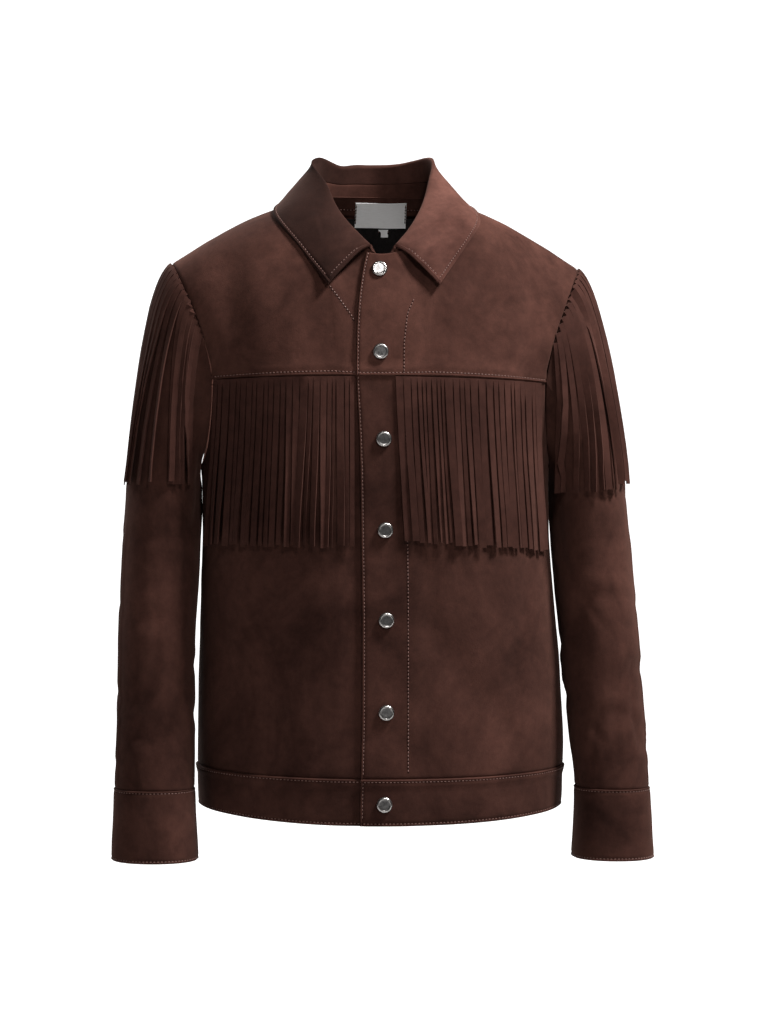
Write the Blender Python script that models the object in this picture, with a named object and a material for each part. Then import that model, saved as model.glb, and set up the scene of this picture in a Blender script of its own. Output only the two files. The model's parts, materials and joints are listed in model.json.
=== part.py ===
"""A fringed suede jacket, hollow and filled out as it is worn, built from its sewn panels.

Metres, +Z up. The front faces -Y and the wearer's left is at +X. The origin is the middle of
the neck opening at the height where the shoulder lines meet the collar.
"""

import math
from collections import namedtuple

import bmesh
import bpy
import numpy as np
from mathutils import Matrix, Vector
from mathutils.bvhtree import BVHTree

# Cloth and sewing
WALL = 0.0016
BAND_WALL = 0.0026
LINING_WALL = 0.0010
SEAM = 0.0004
UP = np.array([0.0, 0.0, 1.0])

# Closing: how far each front reaches past the middle, and the step between the two layers
OVERLAP = 0.025
UNDERLAP = 0.022
NECK_REACH = 0.12
STEP = 0.0018
STEP_FROM = 0.048
STEP_RUN = 0.026

# Roundness of the body and sleeve sections, as the power of a superellipse
BODY_POWER = 2.3
SLEEVE_POWER = 2.15

# How the hanging body and sleeves drift to the wearer's left towards the hem
LEAN_FROM = -0.25
LEAN_RUN = 0.35
BODY_LEAN = 0.008
SLEEVE_LEAN = 0.0045

# How many spans each surface is divided into
YOKE_ROWS = 6
NECK_SPANS = 8
RIDGE_SPANS = 5
BODY_SPANS = 11
COLLAR_SPANS = 16
LOWER_ROWS = (-0.32, -0.37, -0.43, -0.49, -0.545)
CAP_STEPS = (0.0, 0.1, 0.2, 0.33, 0.5, 0.75, 1.0)
SLEEVE_ROWS = (-0.35, -0.40, -0.45, -0.51, -0.56)

# Heights of the level lines at the side of the body
YOKE_LINE = -0.188
UNDERARM = -0.275
WAIST_LINE = -0.593
HEM_LINE = -0.636

BodyRow = namedtuple("BodyRow", "z half_width front back")
BODY_ROWS = [
    BodyRow(-0.650, 0.195, 0.130, 0.120),
    BodyRow(-0.600, 0.197, 0.130, 0.119),
    BodyRow(-0.500, 0.195, 0.129, 0.117),
    BodyRow(-0.400, 0.189, 0.128, 0.115),
    BodyRow(-0.330, 0.187, 0.1275, 0.115),
    BodyRow(-0.275, 0.188, 0.1265, 0.116),
    BodyRow(-0.230, 0.195, 0.1245, 0.117),
    BodyRow(-0.188, 0.205, 0.122, 0.118),
    BodyRow(-0.150, 0.218, 0.119, 0.118),
]

# How far the middle of the front and back lies above the side, for a level line
BendRow = namedtuple("BendRow", "z rise")
BEND_ROWS = [
    BendRow(-0.636, -0.0105),
    BendRow(-0.593, -0.0050),
    BendRow(-0.450, 0.0),
    BendRow(-0.275, 0.0),
    BendRow(-0.188, 0.0045),
]

ArmholeRow = namedtuple("ArmholeRow", "z front_x back_x")
ARMHOLE_ROWS = [
    ArmholeRow(-0.188, 0.1760, 0.1820),
    ArmholeRow(-0.212, 0.1765, 0.1812),
    ArmholeRow(-0.236, 0.1785, 0.1818),
    ArmholeRow(-0.256, 0.1815, 0.1835),
    ArmholeRow(-0.268, 0.1852, 0.1858),
]

# Neckline from the middle of the front, t 0, past the shoulder line, 0.5, to the back, 1
NeckRow = namedtuple("NeckRow", "t x y z")
NECK_ROWS = [
    NeckRow(-0.10, -0.0220, -0.0945, -0.0505),
    NeckRow(0.00, 0.0000, -0.0990, -0.0550),
    NeckRow(0.10, 0.0220, -0.0945, -0.0505),
    NeckRow(0.20, 0.0420, -0.0790, -0.0385),
    NeckRow(0.32, 0.0580, -0.0520, -0.0180),
    NeckRow(0.43, 0.0685, -0.0220, 0.0030),
    NeckRow(0.50, 0.0720, 0.0000, 0.0145),
    NeckRow(0.60, 0.0695, 0.0220, 0.0200),
    NeckRow(0.75, 0.0560, 0.0450, 0.0235),
    NeckRow(0.88, 0.0300, 0.0610, 0.0255),
    NeckRow(1.00, 0.0000, 0.0660, 0.0260),
    NeckRow(1.12, -0.0300, 0.0610, 0.0255),
]
SIDE_OF_NECK = 0.5

RidgeRow = namedtuple("RidgeRow", "x z")
RIDGE_ROWS = [
    RidgeRow(0.0720, 0.0145),
    RidgeRow(0.1094, 0.0015),
    RidgeRow(0.1453, -0.0145),
    RidgeRow(0.1741, -0.0302),
    RidgeRow(0.2002, -0.0464),
    RidgeRow(0.2190, -0.0585),
]

SleeveRow = namedtuple("SleeveRow", "z centre_x half_width centre_y half_depth")
SLEEVE_TABLE = [
    SleeveRow(-0.6875, 0.2429, 0.0430, -0.0620, 0.0440),
    SleeveRow(-0.6135, 0.2432, 0.0396, -0.0540, 0.0415),
    SleeveRow(-0.5600, 0.2412, 0.0407, -0.0440, 0.0460),
    SleeveRow(-0.5100, 0.2393, 0.0417, -0.0340, 0.0510),
    SleeveRow(-0.4500, 0.2382, 0.0420, -0.0230, 0.0570),
    SleeveRow(-0.4000, 0.2358, 0.0422, -0.0150, 0.0610),
    SleeveRow(-0.3500, 0.2330, 0.0420, -0.0080, 0.0640),
    SleeveRow(-0.3000, 0.2305, 0.0408, -0.0020, 0.0660),
]
CAP_END = -0.300

# Shape of the cap: which way it leaves the seam, under the arm and more at the shoulder, how
# soon it turns down, and how straight it meets the full sleeve
CAP_OUT = (0.35, 0.50)
CAP_DOWN = -0.53
CAP_ROUND = 0.12
CAP_INWARD = 0.009
CAP_UPRIGHT = 0.42

CUFF_LINE = -0.6135
CUFF_END = -0.6875
CUFF_PROUD = 0.0008

# Collar sections: u is 0 at the front end and 1 at the middle of the back, t is the neckline's
CollarRow = namedtuple("CollarRow", "u t fold_x fold_y fold_z edge_x edge_y edge_z")
COLLAR_ROWS = [
    CollarRow(0.00, 0.030, 0.0105, -0.0985, -0.0460, 0.0588, -0.1150, -0.0870),
    CollarRow(0.15, 0.165, 0.0274, -0.0770, -0.0256, 0.0755, -0.0900, -0.0635),
    CollarRow(0.35, 0.320, 0.0454, -0.0450, 0.0060, 0.0900, -0.0550, -0.0380),
    CollarRow(0.50, 0.420, 0.0541, -0.0200, 0.0335, 0.0985, -0.0300, -0.0180),
    CollarRow(0.62, 0.510, 0.0600, 0.0040, 0.0567, 0.1050, 0.0040, 0.0080),
    CollarRow(0.80, 0.750, 0.0450, 0.0400, 0.0580, 0.0800, 0.0620, 0.0060),
    CollarRow(1.00, 1.000, 0.0000, 0.0580, 0.0600, 0.0000, 0.0960, 0.0040),
    CollarRow(1.20, 1.120, -0.0450, 0.0400, 0.0580, -0.0800, 0.0620, 0.0060),
]
FOLD_RADIUS = 0.0040
STAND_SHARE = 0.42
LEAF_BULGE = 0.0060
COLLAR_CLEAR = 0.0042
LEAF_SHARES = (0.10, 0.20, 0.30, 0.42, 0.56, 0.70, 0.85, 1.0)
NECK_CLEAR = 0.0110
CLEAR_REACH = 0.06
STAND_LIFT = 0.0014

# Soft folds pressed into the panels: a point on the fold, its slant from upright, its sizes
FoldRow = namedtuple("FoldRow", "face x z slant length width depth")
FOLD_ROWS = [
    FoldRow(-1, -0.152, -0.110, 4.0, 0.060, 0.016, 0.0040),
    FoldRow(-1, 0.158, -0.110, -6.0, 0.060, 0.014, 0.0045),
    FoldRow(-1, 0.082, -0.495, 32.0, 0.085, 0.020, 0.0035),
    FoldRow(-1, -0.095, -0.470, -24.0, 0.080, 0.022, 0.0025),
    FoldRow(1, 0.120, -0.430, -18.0, 0.100, 0.024, 0.0040),
    FoldRow(1, -0.110, -0.470, 22.0, 0.090, 0.024, 0.0040),
    FoldRow(1, 0.010, -0.520, 3.0, 0.080, 0.026, 0.0030),
    FoldRow(1, 0.150, -0.130, 8.0, 0.060, 0.018, 0.0035),
    FoldRow(1, -0.150, -0.130, -8.0, 0.060, 0.018, 0.0035),
]

# Fringe
STRAND_WALL = 0.0013
STRAND_OFF = 0.0006
STRAND_LIFT = 0.0012
STRAND_GAP = 0.0015
STRIP_TOP = 0.0010
STRIP_DEEP = 0.0080
FRINGE_END = -0.356
FRINGE_STEPS = (0.0, 0.33, 0.66, 1.0)
FringeRow = namedtuple("FringeRow", "name face from_x to_x strands lean")
FRINGE_ROWS = [
    FringeRow("fringe_front_right", -1, -0.1690, -0.0285, 22, -0.001),
    FringeRow("fringe_front_left", -1, 0.0140, 0.1670, 24, 0.006),
    FringeRow("fringe_back", 1, -0.1730, 0.1730, 52, 0.0),
]
SLEEVE_FRINGE_TO = -0.140
SLEEVE_STRANDS = 28
SLEEVE_STRAND_WIDE = 0.0044
SLEEVE_STRAND_OFF = 0.0016
SLEEVE_FLARE = 0.0050
TIP_TURN = 0.62
TIP_SPREAD = 0.65
NEARBY = 0.01
# A point inside the cap: its share of the sleeve's own distance, and how far below a strand
CAP_AXIS = (0.93, 0.03)
SLEEVE_STEPS = (0.03, 0.07, 0.20, 0.42, 0.70, 0.985)

# Snaps down the closing, under the collar to the waistband
SNAP_HEIGHTS = (-0.0715, -0.1582, -0.2485, -0.3423, -0.4348, -0.5296, -0.6239)
SNAP_SIDES = 16
SNAP_OFF = 0.0006
SnapRow = namedtuple("SnapRow", "radius height")
SNAP_ROWS = [
    SnapRow(0.0068, 0.0),
    SnapRow(0.00825, 0.0007),
    SnapRow(0.00825, 0.0016),
    SnapRow(0.0064, 0.0029),
]

# What shows inside the back of the neck
LINING_OFF = 0.0010
LINING_REACH = 10
TAB_OFF = 0.0005
LABEL_AT = (0.016, 0.0045)
LABEL_SIZE = (0.058, 0.026)
TAB_AT = (0.019, -0.0135)
TAB_SIZE = (0.011, 0.008)

SUEDE = (0.052, 0.022, 0.015, 1.0)
SUEDE_DARK = (0.040, 0.017, 0.012, 1.0)
SATIN = (0.010, 0.008, 0.008, 1.0)
SILVER_CLOTH = (0.62, 0.60, 0.59, 1.0)
GUNMETAL = (0.30, 0.29, 0.29, 1.0)


def clear_scene():
    for thing in list(bpy.data.objects):
        bpy.data.objects.remove(thing, do_unlink=True)


def unit(vector):
    vector = np.asarray(vector, dtype=float)
    return vector / max(np.linalg.norm(vector), 1e-12)


def soft_step(value):
    value = min(max(value, 0.0), 1.0)
    return value * value * (3 - 2 * value)


def bezier(s):
    """Shares of four control points at s along a curve."""
    return ((1 - s) ** 3, 3 * (1 - s) ** 2 * s, 3 * (1 - s) * s * s, s ** 3)


def curve_through(rows, key, *columns):
    """A smooth curve through the named columns of a table, as a function of its key column."""
    at = np.array([getattr(row, key) for row in rows])
    values = np.array([[getattr(row, name) for name in columns] for row in rows])
    slopes = np.gradient(values, at, axis=0)

    def point(t):
        i = int(np.clip(np.searchsorted(at, t) - 1, 0, len(at) - 2))
        step = at[i + 1] - at[i]
        s = (t - at[i]) / step
        return (
            values[i] * (1 + 2 * s) * (1 - s) ** 2
            + slopes[i] * step * s * (1 - s) ** 2
            + values[i + 1] * s * s * (3 - 2 * s)
            + slopes[i + 1] * step * s * s * (s - 1)
        )

    return point


body_sizes = curve_through(BODY_ROWS, "z", "half_width", "front", "back")
neck_curve = curve_through(NECK_ROWS, "t", "x", "y", "z")
ridge_height = curve_through(RIDGE_ROWS, "x", "z")
sleeve_sizes = curve_through(SLEEVE_TABLE, "z", "centre_x", "half_width", "centre_y", "half_depth")
collar_row = curve_through(
    COLLAR_ROWS, "u", "t", "fold_x", "fold_y", "fold_z", "edge_x", "edge_y", "edge_z"
)


def lean(z, most):
    return most * soft_step((LEAN_FROM - z) / LEAN_RUN)


def rise(z):
    return float(np.interp(z, [row.z for row in BEND_ROWS], [row.rise for row in BEND_ROWS]))


def body_angle(side, x, z):
    """The angle round the body's section at which it reaches x, seen from the given side."""
    half_width = body_sizes(z)[0]
    share = (x - side * lean(z, BODY_LEAN)) / half_width
    share = min(max(share, -1.0), 1.0)
    return math.copysign(math.asin(abs(share) ** (BODY_POWER / 2)), share)


def pressed(point, face):
    """A body point with the soft folds pressed into it."""
    depth = 0.0
    for fold in FOLD_ROWS:
        if fold.face == face:
            slant = math.radians(fold.slant)
            dx = point[0] - fold.x
            dz = point[2] - fold.z
            across = dx * math.cos(slant) + dz * math.sin(slant)
            along = dz * math.cos(slant) - dx * math.sin(slant)
            near = (across / fold.width) ** 2 + (along / fold.length) ** 2
            depth += fold.depth * math.exp(-near)
    return point - np.array([0.0, face * depth, 0.0])


def stepped(point, side, face):
    """The closing's outer front a little proud, and the one under it a little low."""
    if face > 0:
        return point
    share = soft_step((STEP_FROM - side * point[0]) / STEP_RUN)
    return point - np.array([0.0, side * STEP * share, 0.0])


def body_point(side, angle, z, face):
    """A point of the body's outer surface, on one side and face, at an angle from the middle."""
    half_width, front, back = body_sizes(z)
    depth = front if face < 0 else back
    power = 2 / BODY_POWER
    x = side * half_width * math.copysign(abs(math.sin(angle)) ** power, math.sin(angle))
    y = face * depth * max(math.cos(angle), 0.0) ** power
    height = z + rise(z) * math.cos(angle) ** 2
    return stepped(pressed(np.array([x + lean(z, BODY_LEAN), y, height]), face), side, face)


def edge_angle(side, face, z):
    """Where a panel starts at the middle: on the centre line, or past it at the closing."""
    if face > 0:
        return body_angle(side, 0.0, z)
    reach = OVERLAP if side > 0 else UNDERLAP
    return body_angle(side, -reach, z)


def armhole_angle(face, row):
    return body_angle(1, row.front_x if face < 0 else row.back_x, row.z)


def lower_half(side, face):
    """Half of the front or back below the yoke, rows going down and columns going outward."""
    edges = [(row.z, armhole_angle(face, row)) for row in ARMHOLE_ROWS]
    edges += [(z, math.pi / 2) for z in (UNDERARM, *LOWER_ROWS, WAIST_LINE)]
    rows = []
    for z, outer in edges:
        angles = np.linspace(edge_angle(side, face, z), outer, BODY_SPANS + 1)
        rows.append([body_point(side, angle, z, face) for angle in angles])
    return np.array(rows)


def yoke_tops(face):
    """Neck and shoulder points where the yoke's columns end, with the way down from each."""
    tops = []
    start = -NECK_REACH / 2 if face < 0 else 1.0
    flat = math.radians(10 if face < 0 else 30)
    for t in np.linspace(start, SIDE_OF_NECK, NECK_SPANS + 1):
        share = abs(t) / SIDE_OF_NECK if face < 0 else (1.0 - t) / SIDE_OF_NECK
        slope = flat + (math.pi / 2 - flat) * share ** 1.3
        down = np.array([0.0, face * math.sin(slope), -math.cos(slope)])
        tops.append((neck_curve(t), down))
    for x in np.linspace(RIDGE_ROWS[0].x, RIDGE_ROWS[-1].x, RIDGE_SPANS + 1)[1:]:
        tops.append((np.array([x, 0.0, ridge_height(x)[0]]), np.array([0.0, face, 0.0])))
    return tops


def yoke_column(bottom, top, down, bow):
    """A column of the yoke from its top to the seam, upright at the seam."""
    height = top[2] - bottom[2]
    low = bottom + UP * 0.55 * height
    high = top + down * 0.5 * math.hypot(top[1] - bottom[1], 0.35 * height)
    column = []
    for s in np.linspace(1.0, 0.0, YOKE_ROWS + 1):
        point = sum(w * p for w, p in zip(bezier(s), (bottom, low, high, top)))
        share = min(max((point[2] - bottom[2]) / height, 0.0), 1.0)
        point[0] = bottom[0] + (top[0] - bottom[0]) * share ** bow
        column.append(point)
    return column


def yoke_half(side, face):
    """Half of a front or back yoke, rows going down and columns going outward."""
    tops = yoke_tops(face)
    first = tops[0][0][0]
    last = tops[-1][0][0]
    reach = (OVERLAP if side > 0 else UNDERLAP) if face < 0 else 0.0
    armhole_x = ARMHOLE_ROWS[0].front_x if face < 0 else ARMHOLE_ROWS[0].back_x
    columns = []
    for top, down in tops:
        share = (top[0] - first) / (last - first)
        x = -reach + (armhole_x + reach) * share
        bottom = body_point(side, body_angle(side, x, YOKE_LINE), YOKE_LINE, face)
        bow = 1.4 + 1.6 * (1 - share) ** 2
        top = stepped(top * (side, 1, 1), side, face)
        column = yoke_column(bottom, top, down, bow)
        columns.append([column[0], *(pressed(p, face) for p in column[1:-1]), column[-1]])
    return np.array(columns).transpose(1, 0, 2)


def whole(half, face):
    """Both halves of the back in one grid, running from -X to +X."""
    return np.concatenate([half(-1, face)[:, :0:-1], half(1, face)], axis=1)


class Panel:
    """A sewn piece: its outer surface as rows of points, and which way its outside faces."""

    def __init__(self, name, grid, sign, closed=False, wall=WALL):
        self.name = name
        self.grid = np.ascontiguousarray(grid)
        self.closed = closed
        self.wall = wall
        self.normals = surface_normals(grid, sign, closed)


def surface_normals(grid, sign, closed):
    """Outward normal at each point of a grid, from the faces round it."""
    faces_round = np.concatenate([grid, grid[:, :1]], axis=1) if closed else grid
    across = np.diff(faces_round, axis=1)
    down = np.diff(faces_round, axis=0)
    flat = np.cross(across[:-1] + across[1:], down[:, :-1] + down[:, 1:])
    total = np.zeros_like(faces_round)
    for rows in (slice(0, -1), slice(1, None)):
        for columns in (slice(0, -1), slice(1, None)):
            total[rows, columns] += flat
    if closed:
        total[:, 0] += total[:, -1]
        total = total[:, :-1]
    lengths = np.maximum(np.linalg.norm(total, axis=2, keepdims=True), 1e-12)
    return np.ascontiguousarray(sign * total / lengths)


def place_key(point):
    return tuple(np.floor(point * 2000 + 0.37).astype(int))


def share_normals(panels):
    """Give neighbours the same normal where they meet, so that their walls stay apart."""
    totals = {}
    for panel in panels:
        for point, normal in zip(panel.grid.reshape(-1, 3), panel.normals.reshape(-1, 3)):
            key = place_key(point)
            totals[key] = totals.get(key, np.zeros(3)) + normal
    for panel in panels:
        flat = panel.normals.reshape(-1, 3)
        for i, point in enumerate(panel.grid.reshape(-1, 3)):
            flat[i] = unit(totals[place_key(point)])


def draw_in(panel, sides):
    """Move the named sides of a panel in by half a seam's gap."""
    grid = panel.grid
    pairs = {
        "top": (grid[0], grid[1]),
        "bottom": (grid[-1], grid[-2]),
        "first": (grid[:, 0], grid[:, 1]),
        "last": (grid[:, -1], grid[:, -2]),
    }
    for side in sides:
        line, inner = pairs[side]
        for i in range(len(line)):
            line[i] = line[i] + unit(inner[i] - line[i]) * SEAM / 2


def suede_material(name, colour, roughness=0.9, metallic=0.0):
    material = bpy.data.materials.new(name)
    material.use_nodes = True
    shader = material.node_tree.nodes["Principled BSDF"]
    shader.inputs["Base Color"].default_value = colour
    shader.inputs["Roughness"].default_value = roughness
    shader.inputs["Metallic"].default_value = metallic
    return material


def add_mesh(name, points, faces, colour, roughness=0.9, metallic=0.0):
    """One closed solid with its own material."""
    mesh = bpy.data.meshes.new(name)
    mesh.from_pydata([tuple(p) for p in points], [], faces)
    shape = bmesh.new()
    shape.from_mesh(mesh)
    bmesh.ops.recalc_face_normals(shape, faces=shape.faces)
    shape.to_mesh(mesh)
    shape.free()
    mesh.shade_smooth()
    mesh.set_sharp_from_angle(angle=math.radians(40))
    mesh.materials.append(suede_material(name, colour, roughness, metallic))
    thing = bpy.data.objects.new(name, mesh)
    bpy.context.collection.objects.link(thing)
    return thing


def add_wall(panel, colour=SUEDE, roughness=0.9):
    """The panel's outer grid joined to an inner one a wall's thickness inside it."""
    rows, columns = panel.grid.shape[:2]
    inner = panel.grid - panel.normals * panel.wall
    points = np.concatenate([panel.grid.reshape(-1, 3), inner.reshape(-1, 3)])
    behind = rows * columns

    def at(r, c):
        return r * columns + c % columns

    spans = columns if panel.closed else columns - 1
    faces = []
    for r in range(rows - 1):
        for c in range(spans):
            for face in (
                (at(r, c), at(r, c + 1), at(r + 1, c + 1)),
                (at(r, c), at(r + 1, c + 1), at(r + 1, c)),
            ):
                faces.append(face)
                faces.append(tuple(behind + i for i in reversed(face)))
    rim = [(at(0, c), at(0, c + 1)) for c in range(spans)]
    rim += [(at(rows - 1, c + 1), at(rows - 1, c)) for c in range(spans)]
    if not panel.closed:
        rim += [(at(r + 1, 0), at(r, 0)) for r in range(rows - 1)]
        rim += [(at(r, columns - 1), at(r + 1, columns - 1)) for r in range(rows - 1)]
    faces += [(b, a, behind + a, behind + b) for a, b in rim]
    return add_mesh(panel.name, points, faces, colour, roughness)


def body_panels():
    panels = {}
    for side, word in ((1, "left"), (-1, "right")):
        panels["front_" + word] = Panel("front_" + word, lower_half(side, -1), -side)
        name = "yoke_front_" + word
        panels[name] = Panel(name, yoke_half(side, -1), -side)
    panels["back"] = Panel("back", whole(lower_half, 1), 1)
    panels["yoke_back"] = Panel("yoke_back", whole(yoke_half, 1), 1)
    return panels


def waistband_panel():
    """One strip round the hem, from the outer end of the closing to the inner end."""
    rows = []
    for z in (WAIST_LINE, (WAIST_LINE + HEM_LINE) / 2, HEM_LINE):
        row = []
        for side, face in ((1, -1), (1, 1), (-1, 1), (-1, -1)):
            angles = np.linspace(edge_angle(side, face, z), math.pi / 2, BODY_SPANS + 1)
            outward = side * face < 0
            line = [body_point(side, a, z, face) for a in (angles if outward else angles[::-1])]
            row.extend(line if not row else line[1:])
        rows.append(row)
    return Panel("waistband", np.array(rows), -1)


def sleeve_angles(loop, underarm):
    """Angles round the sleeve for the armhole's points, spread by how far apart they are."""
    steps = np.linalg.norm(np.diff(np.concatenate([loop, loop[:1]]), axis=0), axis=1)
    front = np.cumsum(steps[:underarm])
    back = np.cumsum(steps[underarm:])
    angles = [0.0, *(math.pi * front / front[-1]), *(math.pi + math.pi * back / back[-1])]
    return angles[:-1]


def sleeve_point(side, angle, z):
    """A point of the sleeve's section: 0 is outward, a quarter turn is the front."""
    centre_x, half_width, centre_y, half_depth = sleeve_sizes(z)
    power = 2 / SLEEVE_POWER
    c = math.copysign(abs(math.cos(angle)) ** power, math.cos(angle))
    s = math.copysign(abs(math.sin(angle)) ** power, math.sin(angle))
    x = side * (centre_x + half_width * c) + lean(z, SLEEVE_LEAN)
    return np.array([x, centre_y - half_depth * s, z])


def cap_point(side, start, angle, step):
    """A point between the armhole and the first full section of the sleeve."""
    end = sleeve_point(side, angle, CAP_END)
    over = (1 + math.cos(angle)) / 2
    away = np.array([side * (CAP_OUT[0] + CAP_OUT[1] * over), 0.0, CAP_DOWN])
    first = start + away * CAP_ROUND * np.linalg.norm(end - start)
    inward = -side * CAP_INWARD * over
    second = end + np.array([inward, 0.0, CAP_UPRIGHT * (start[2] - end[2])])
    return sum(w * p for w, p in zip(bezier(step), (start, first, second, end)))


def armhole_loop(panels, side):
    """Armhole points from the shoulder down the front and up the back, and the underarm's."""
    word = "left" if side > 0 else "right"
    column = -1 if side > 0 else 0
    armhole_rows = len(ARMHOLE_ROWS)
    parts = [
        panels["yoke_front_" + word].grid[:, -1],
        panels["front_" + word].grid[1 : armhole_rows + 1, -1],
        panels["back"].grid[armhole_rows - 1 : 0 : -1, column],
        panels["yoke_back"].grid[:0:-1, column],
    ]
    loop = np.concatenate(parts)
    return loop, YOKE_ROWS + armhole_rows


def sleeve_panel(panels, side):
    loop, underarm = armhole_loop(panels, side)
    angles = sleeve_angles(loop, underarm)
    rows = []
    for step in CAP_STEPS:
        rows.append([cap_point(side, p, a, step) for p, a in zip(loop, angles)])
    for z in (*SLEEVE_ROWS, CUFF_LINE):
        rows.append([sleeve_point(side, a, z) for a in angles])
    name = "sleeve_left" if side > 0 else "sleeve_right"
    return Panel(name, np.array(rows), side, closed=True), angles


def join_armhole(body, sleeve):
    """Mitre the walls where the shoulder turns over, and open the seam's gap all round."""
    torso = {}
    for panel in body:
        for i, point in enumerate(panel.grid.reshape(-1, 3)):
            torso.setdefault(place_key(point), []).append((panel, i))
    for i, point in enumerate(sleeve.grid[0].copy()):
        shared = torso[place_key(point)]
        outward = shared[0][0].normals.reshape(-1, 3)[shared[0][1]].copy()
        along = unit(sleeve.grid[1, i] - point)
        if along @ outward < 0.15 and sleeve.normals[0, i] @ outward > 0.3:
            both = unit(outward + sleeve.normals[0, i])
            sleeve.normals[0, i] = both
            for panel, j in shared:
                panel.normals.reshape(-1, 3)[j] = both
        sleeve.grid[0, i] = point + (outward + along) * SEAM * 0.75


def cuff_panel(side, angles):
    rows = []
    for share in (0.0, 0.35, 0.7, 1.0):
        z = CUFF_LINE + (CUFF_END - CUFF_LINE) * share
        rows.append([sleeve_point(side, a, z) for a in angles])
    name = "cuff_left" if side > 0 else "cuff_right"
    panel = Panel(name, np.array(rows), side, closed=True, wall=BAND_WALL)
    panel.grid = panel.grid + panel.normals * CUFF_PROUD
    return panel


class Surface:
    """The outer surfaces of some panels, to find points on them and to keep clear of them."""

    def __init__(self, panels):
        points = []
        faces = []
        for panel in panels:
            rows, columns = panel.grid.shape[:2]
            start = len(points)
            points.extend(Vector(p) for p in panel.grid.reshape(-1, 3))
            for r in range(rows - 1):
                for c in range(columns - 1):
                    a = start + r * columns + c
                    faces.append((a, a + 1, a + columns + 1, a + columns))
        self.tree = BVHTree.FromPolygons(points, faces)

    def across(self, x, z, face):
        """The point met at x and z from the front or the back, and its outward normal."""
        hit, normal, _, _ = self.tree.ray_cast(Vector((x, face, z)), Vector((0, -face, 0)))
        if normal.y * face < 0:
            normal = -normal
        return np.array(hit), np.array(normal)

    def kept_clear(self, point, distance, away):
        """The point, moved along a way out until it is at the given distance above the surface."""
        far = Vector(point + away * CLEAR_REACH)
        hit = self.tree.ray_cast(far, Vector(-away), CLEAR_REACH * 1.5)[0]
        if hit is not None:
            return point + away * max((np.array(hit) - point) @ away + distance, 0.0)
        gap = self.tree.find_nearest(Vector(point))[3]
        return point + away * max(distance - gap, 0.0)


def collar_section(u, side, surface):
    """Points of one collar section: up the stand, over the fold and down to the edge."""
    t, *rest = collar_row(u)
    fold = np.array(rest[:3]) * (side, 1, 1)
    edge = np.array(rest[3:]) * (side, 1, 1)
    neck = neck_curve(t) * (side, 1, 1)
    base = neck + UP * STAND_LIFT - unit(neck * (1, 1, 0)) * (WALL + 0.0002)
    out = unit((edge - fold) * (1, 1, 0))
    radius = min(FOLD_RADIUS, 0.3 * np.linalg.norm(fold - base))
    seam = base + (fold - base) * STAND_SHARE
    rising = [base, (base + seam) / 2, seam]
    rising += [base + (fold - base) * 0.72, fold - UP * radius]
    over = [
        fold - UP * radius + out * radius * (1 - math.cos(a)) + UP * radius * math.sin(a)
        for a in np.radians([45, 90, 135])
    ]
    leaf_out = unit(np.cross(edge - fold, np.cross(out, UP)))
    leaf_out = leaf_out if leaf_out[2] > 0 else -leaf_out
    falling = []
    for share in LEAF_SHARES:
        bulge = LEAF_BULGE * math.sin(math.pi * share) * min(1.0, 2 * u + 0.3)
        point = over[-1] + (edge - over[-1]) * share + leaf_out * bulge
        clear = COLLAR_CLEAR + NECK_CLEAR * (1 - share ** 2)
        falling.append(surface.kept_clear(point, clear, leaf_out))
    return np.array(rising + over + falling)


def collar_panels(body):
    """The stand inside the neck, and the leaf that folds over it."""
    surface = Surface([p for p in body if p.name.startswith("yoke")])
    shares = np.linspace(0.0, 1.0, COLLAR_SPANS + 1)
    left = [collar_section(u, 1, surface) for u in shares]
    right = [collar_section(u, -1, surface) for u in shares]
    grid = np.array(left + right[-2::-1]).transpose(1, 0, 2)
    stand = Panel("collar_stand", grid[:3].copy(), -1)
    leaf = Panel("collar", grid[2:].copy(), -1)
    share_normals([stand, leaf])
    draw_in(stand, ["bottom"])
    draw_in(leaf, ["top"])
    return stand, leaf


def fringe(name, strands, colour=SUEDE_DARK):
    """Strands side by side, joined at their roots by a strip.

    A strand is a list of frames: its place, its outward way and its half width sideways. The
    strip runs from the first frame to the second, and the strands hang from there.
    """
    points = []
    for frames in strands:
        for place, outward, half in frames:
            for lift, way in ((1, -1), (1, 1), (0, 1), (0, -1)):
                points.append(place + outward * STRAND_WALL * lift + half * way)
    frames_each = len(strands[0])

    def at(strand, frame, corner):
        return (strand * frames_each + frame) * 4 + corner % 4

    faces = []
    for k in range(len(strands)):
        faces.append([at(k, 0, i) for i in (3, 2, 1, 0)])
        faces.append([at(k, frames_each - 1, i) for i in (0, 1, 2, 3)])
        for j in range(frames_each - 1):
            for i in range(4):
                inside_strip = j == 0 and i in (1, 3)
                outermost = (k == 0 and i == 3) or (k == len(strands) - 1 and i == 1)
                if not inside_strip or outermost:
                    faces.append([at(k, j, i), at(k, j, i + 1), at(k, j + 1, i + 1), at(k, j + 1, i)])
    for k in range(len(strands) - 1):
        right = [at(k, j, i) for j in (0, 1) for i in (1, 2)]
        left = [at(k + 1, j, i) for j in (0, 1) for i in (0, 3)]
        faces.append([right[0], left[0], left[2], right[2]])
        faces.append([left[1], right[1], right[3], left[3]])
        faces.append([right[0], right[1], left[1], left[0]])
        faces.append([right[2], left[2], left[3], right[3]])
    add_mesh(name, points, faces, colour)


def uneven(k, amount):
    """A small repeatable unevenness for the k-th strand."""
    return amount * math.sin(2.4 * k + 1.3) * math.cos(0.9 * k)


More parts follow.
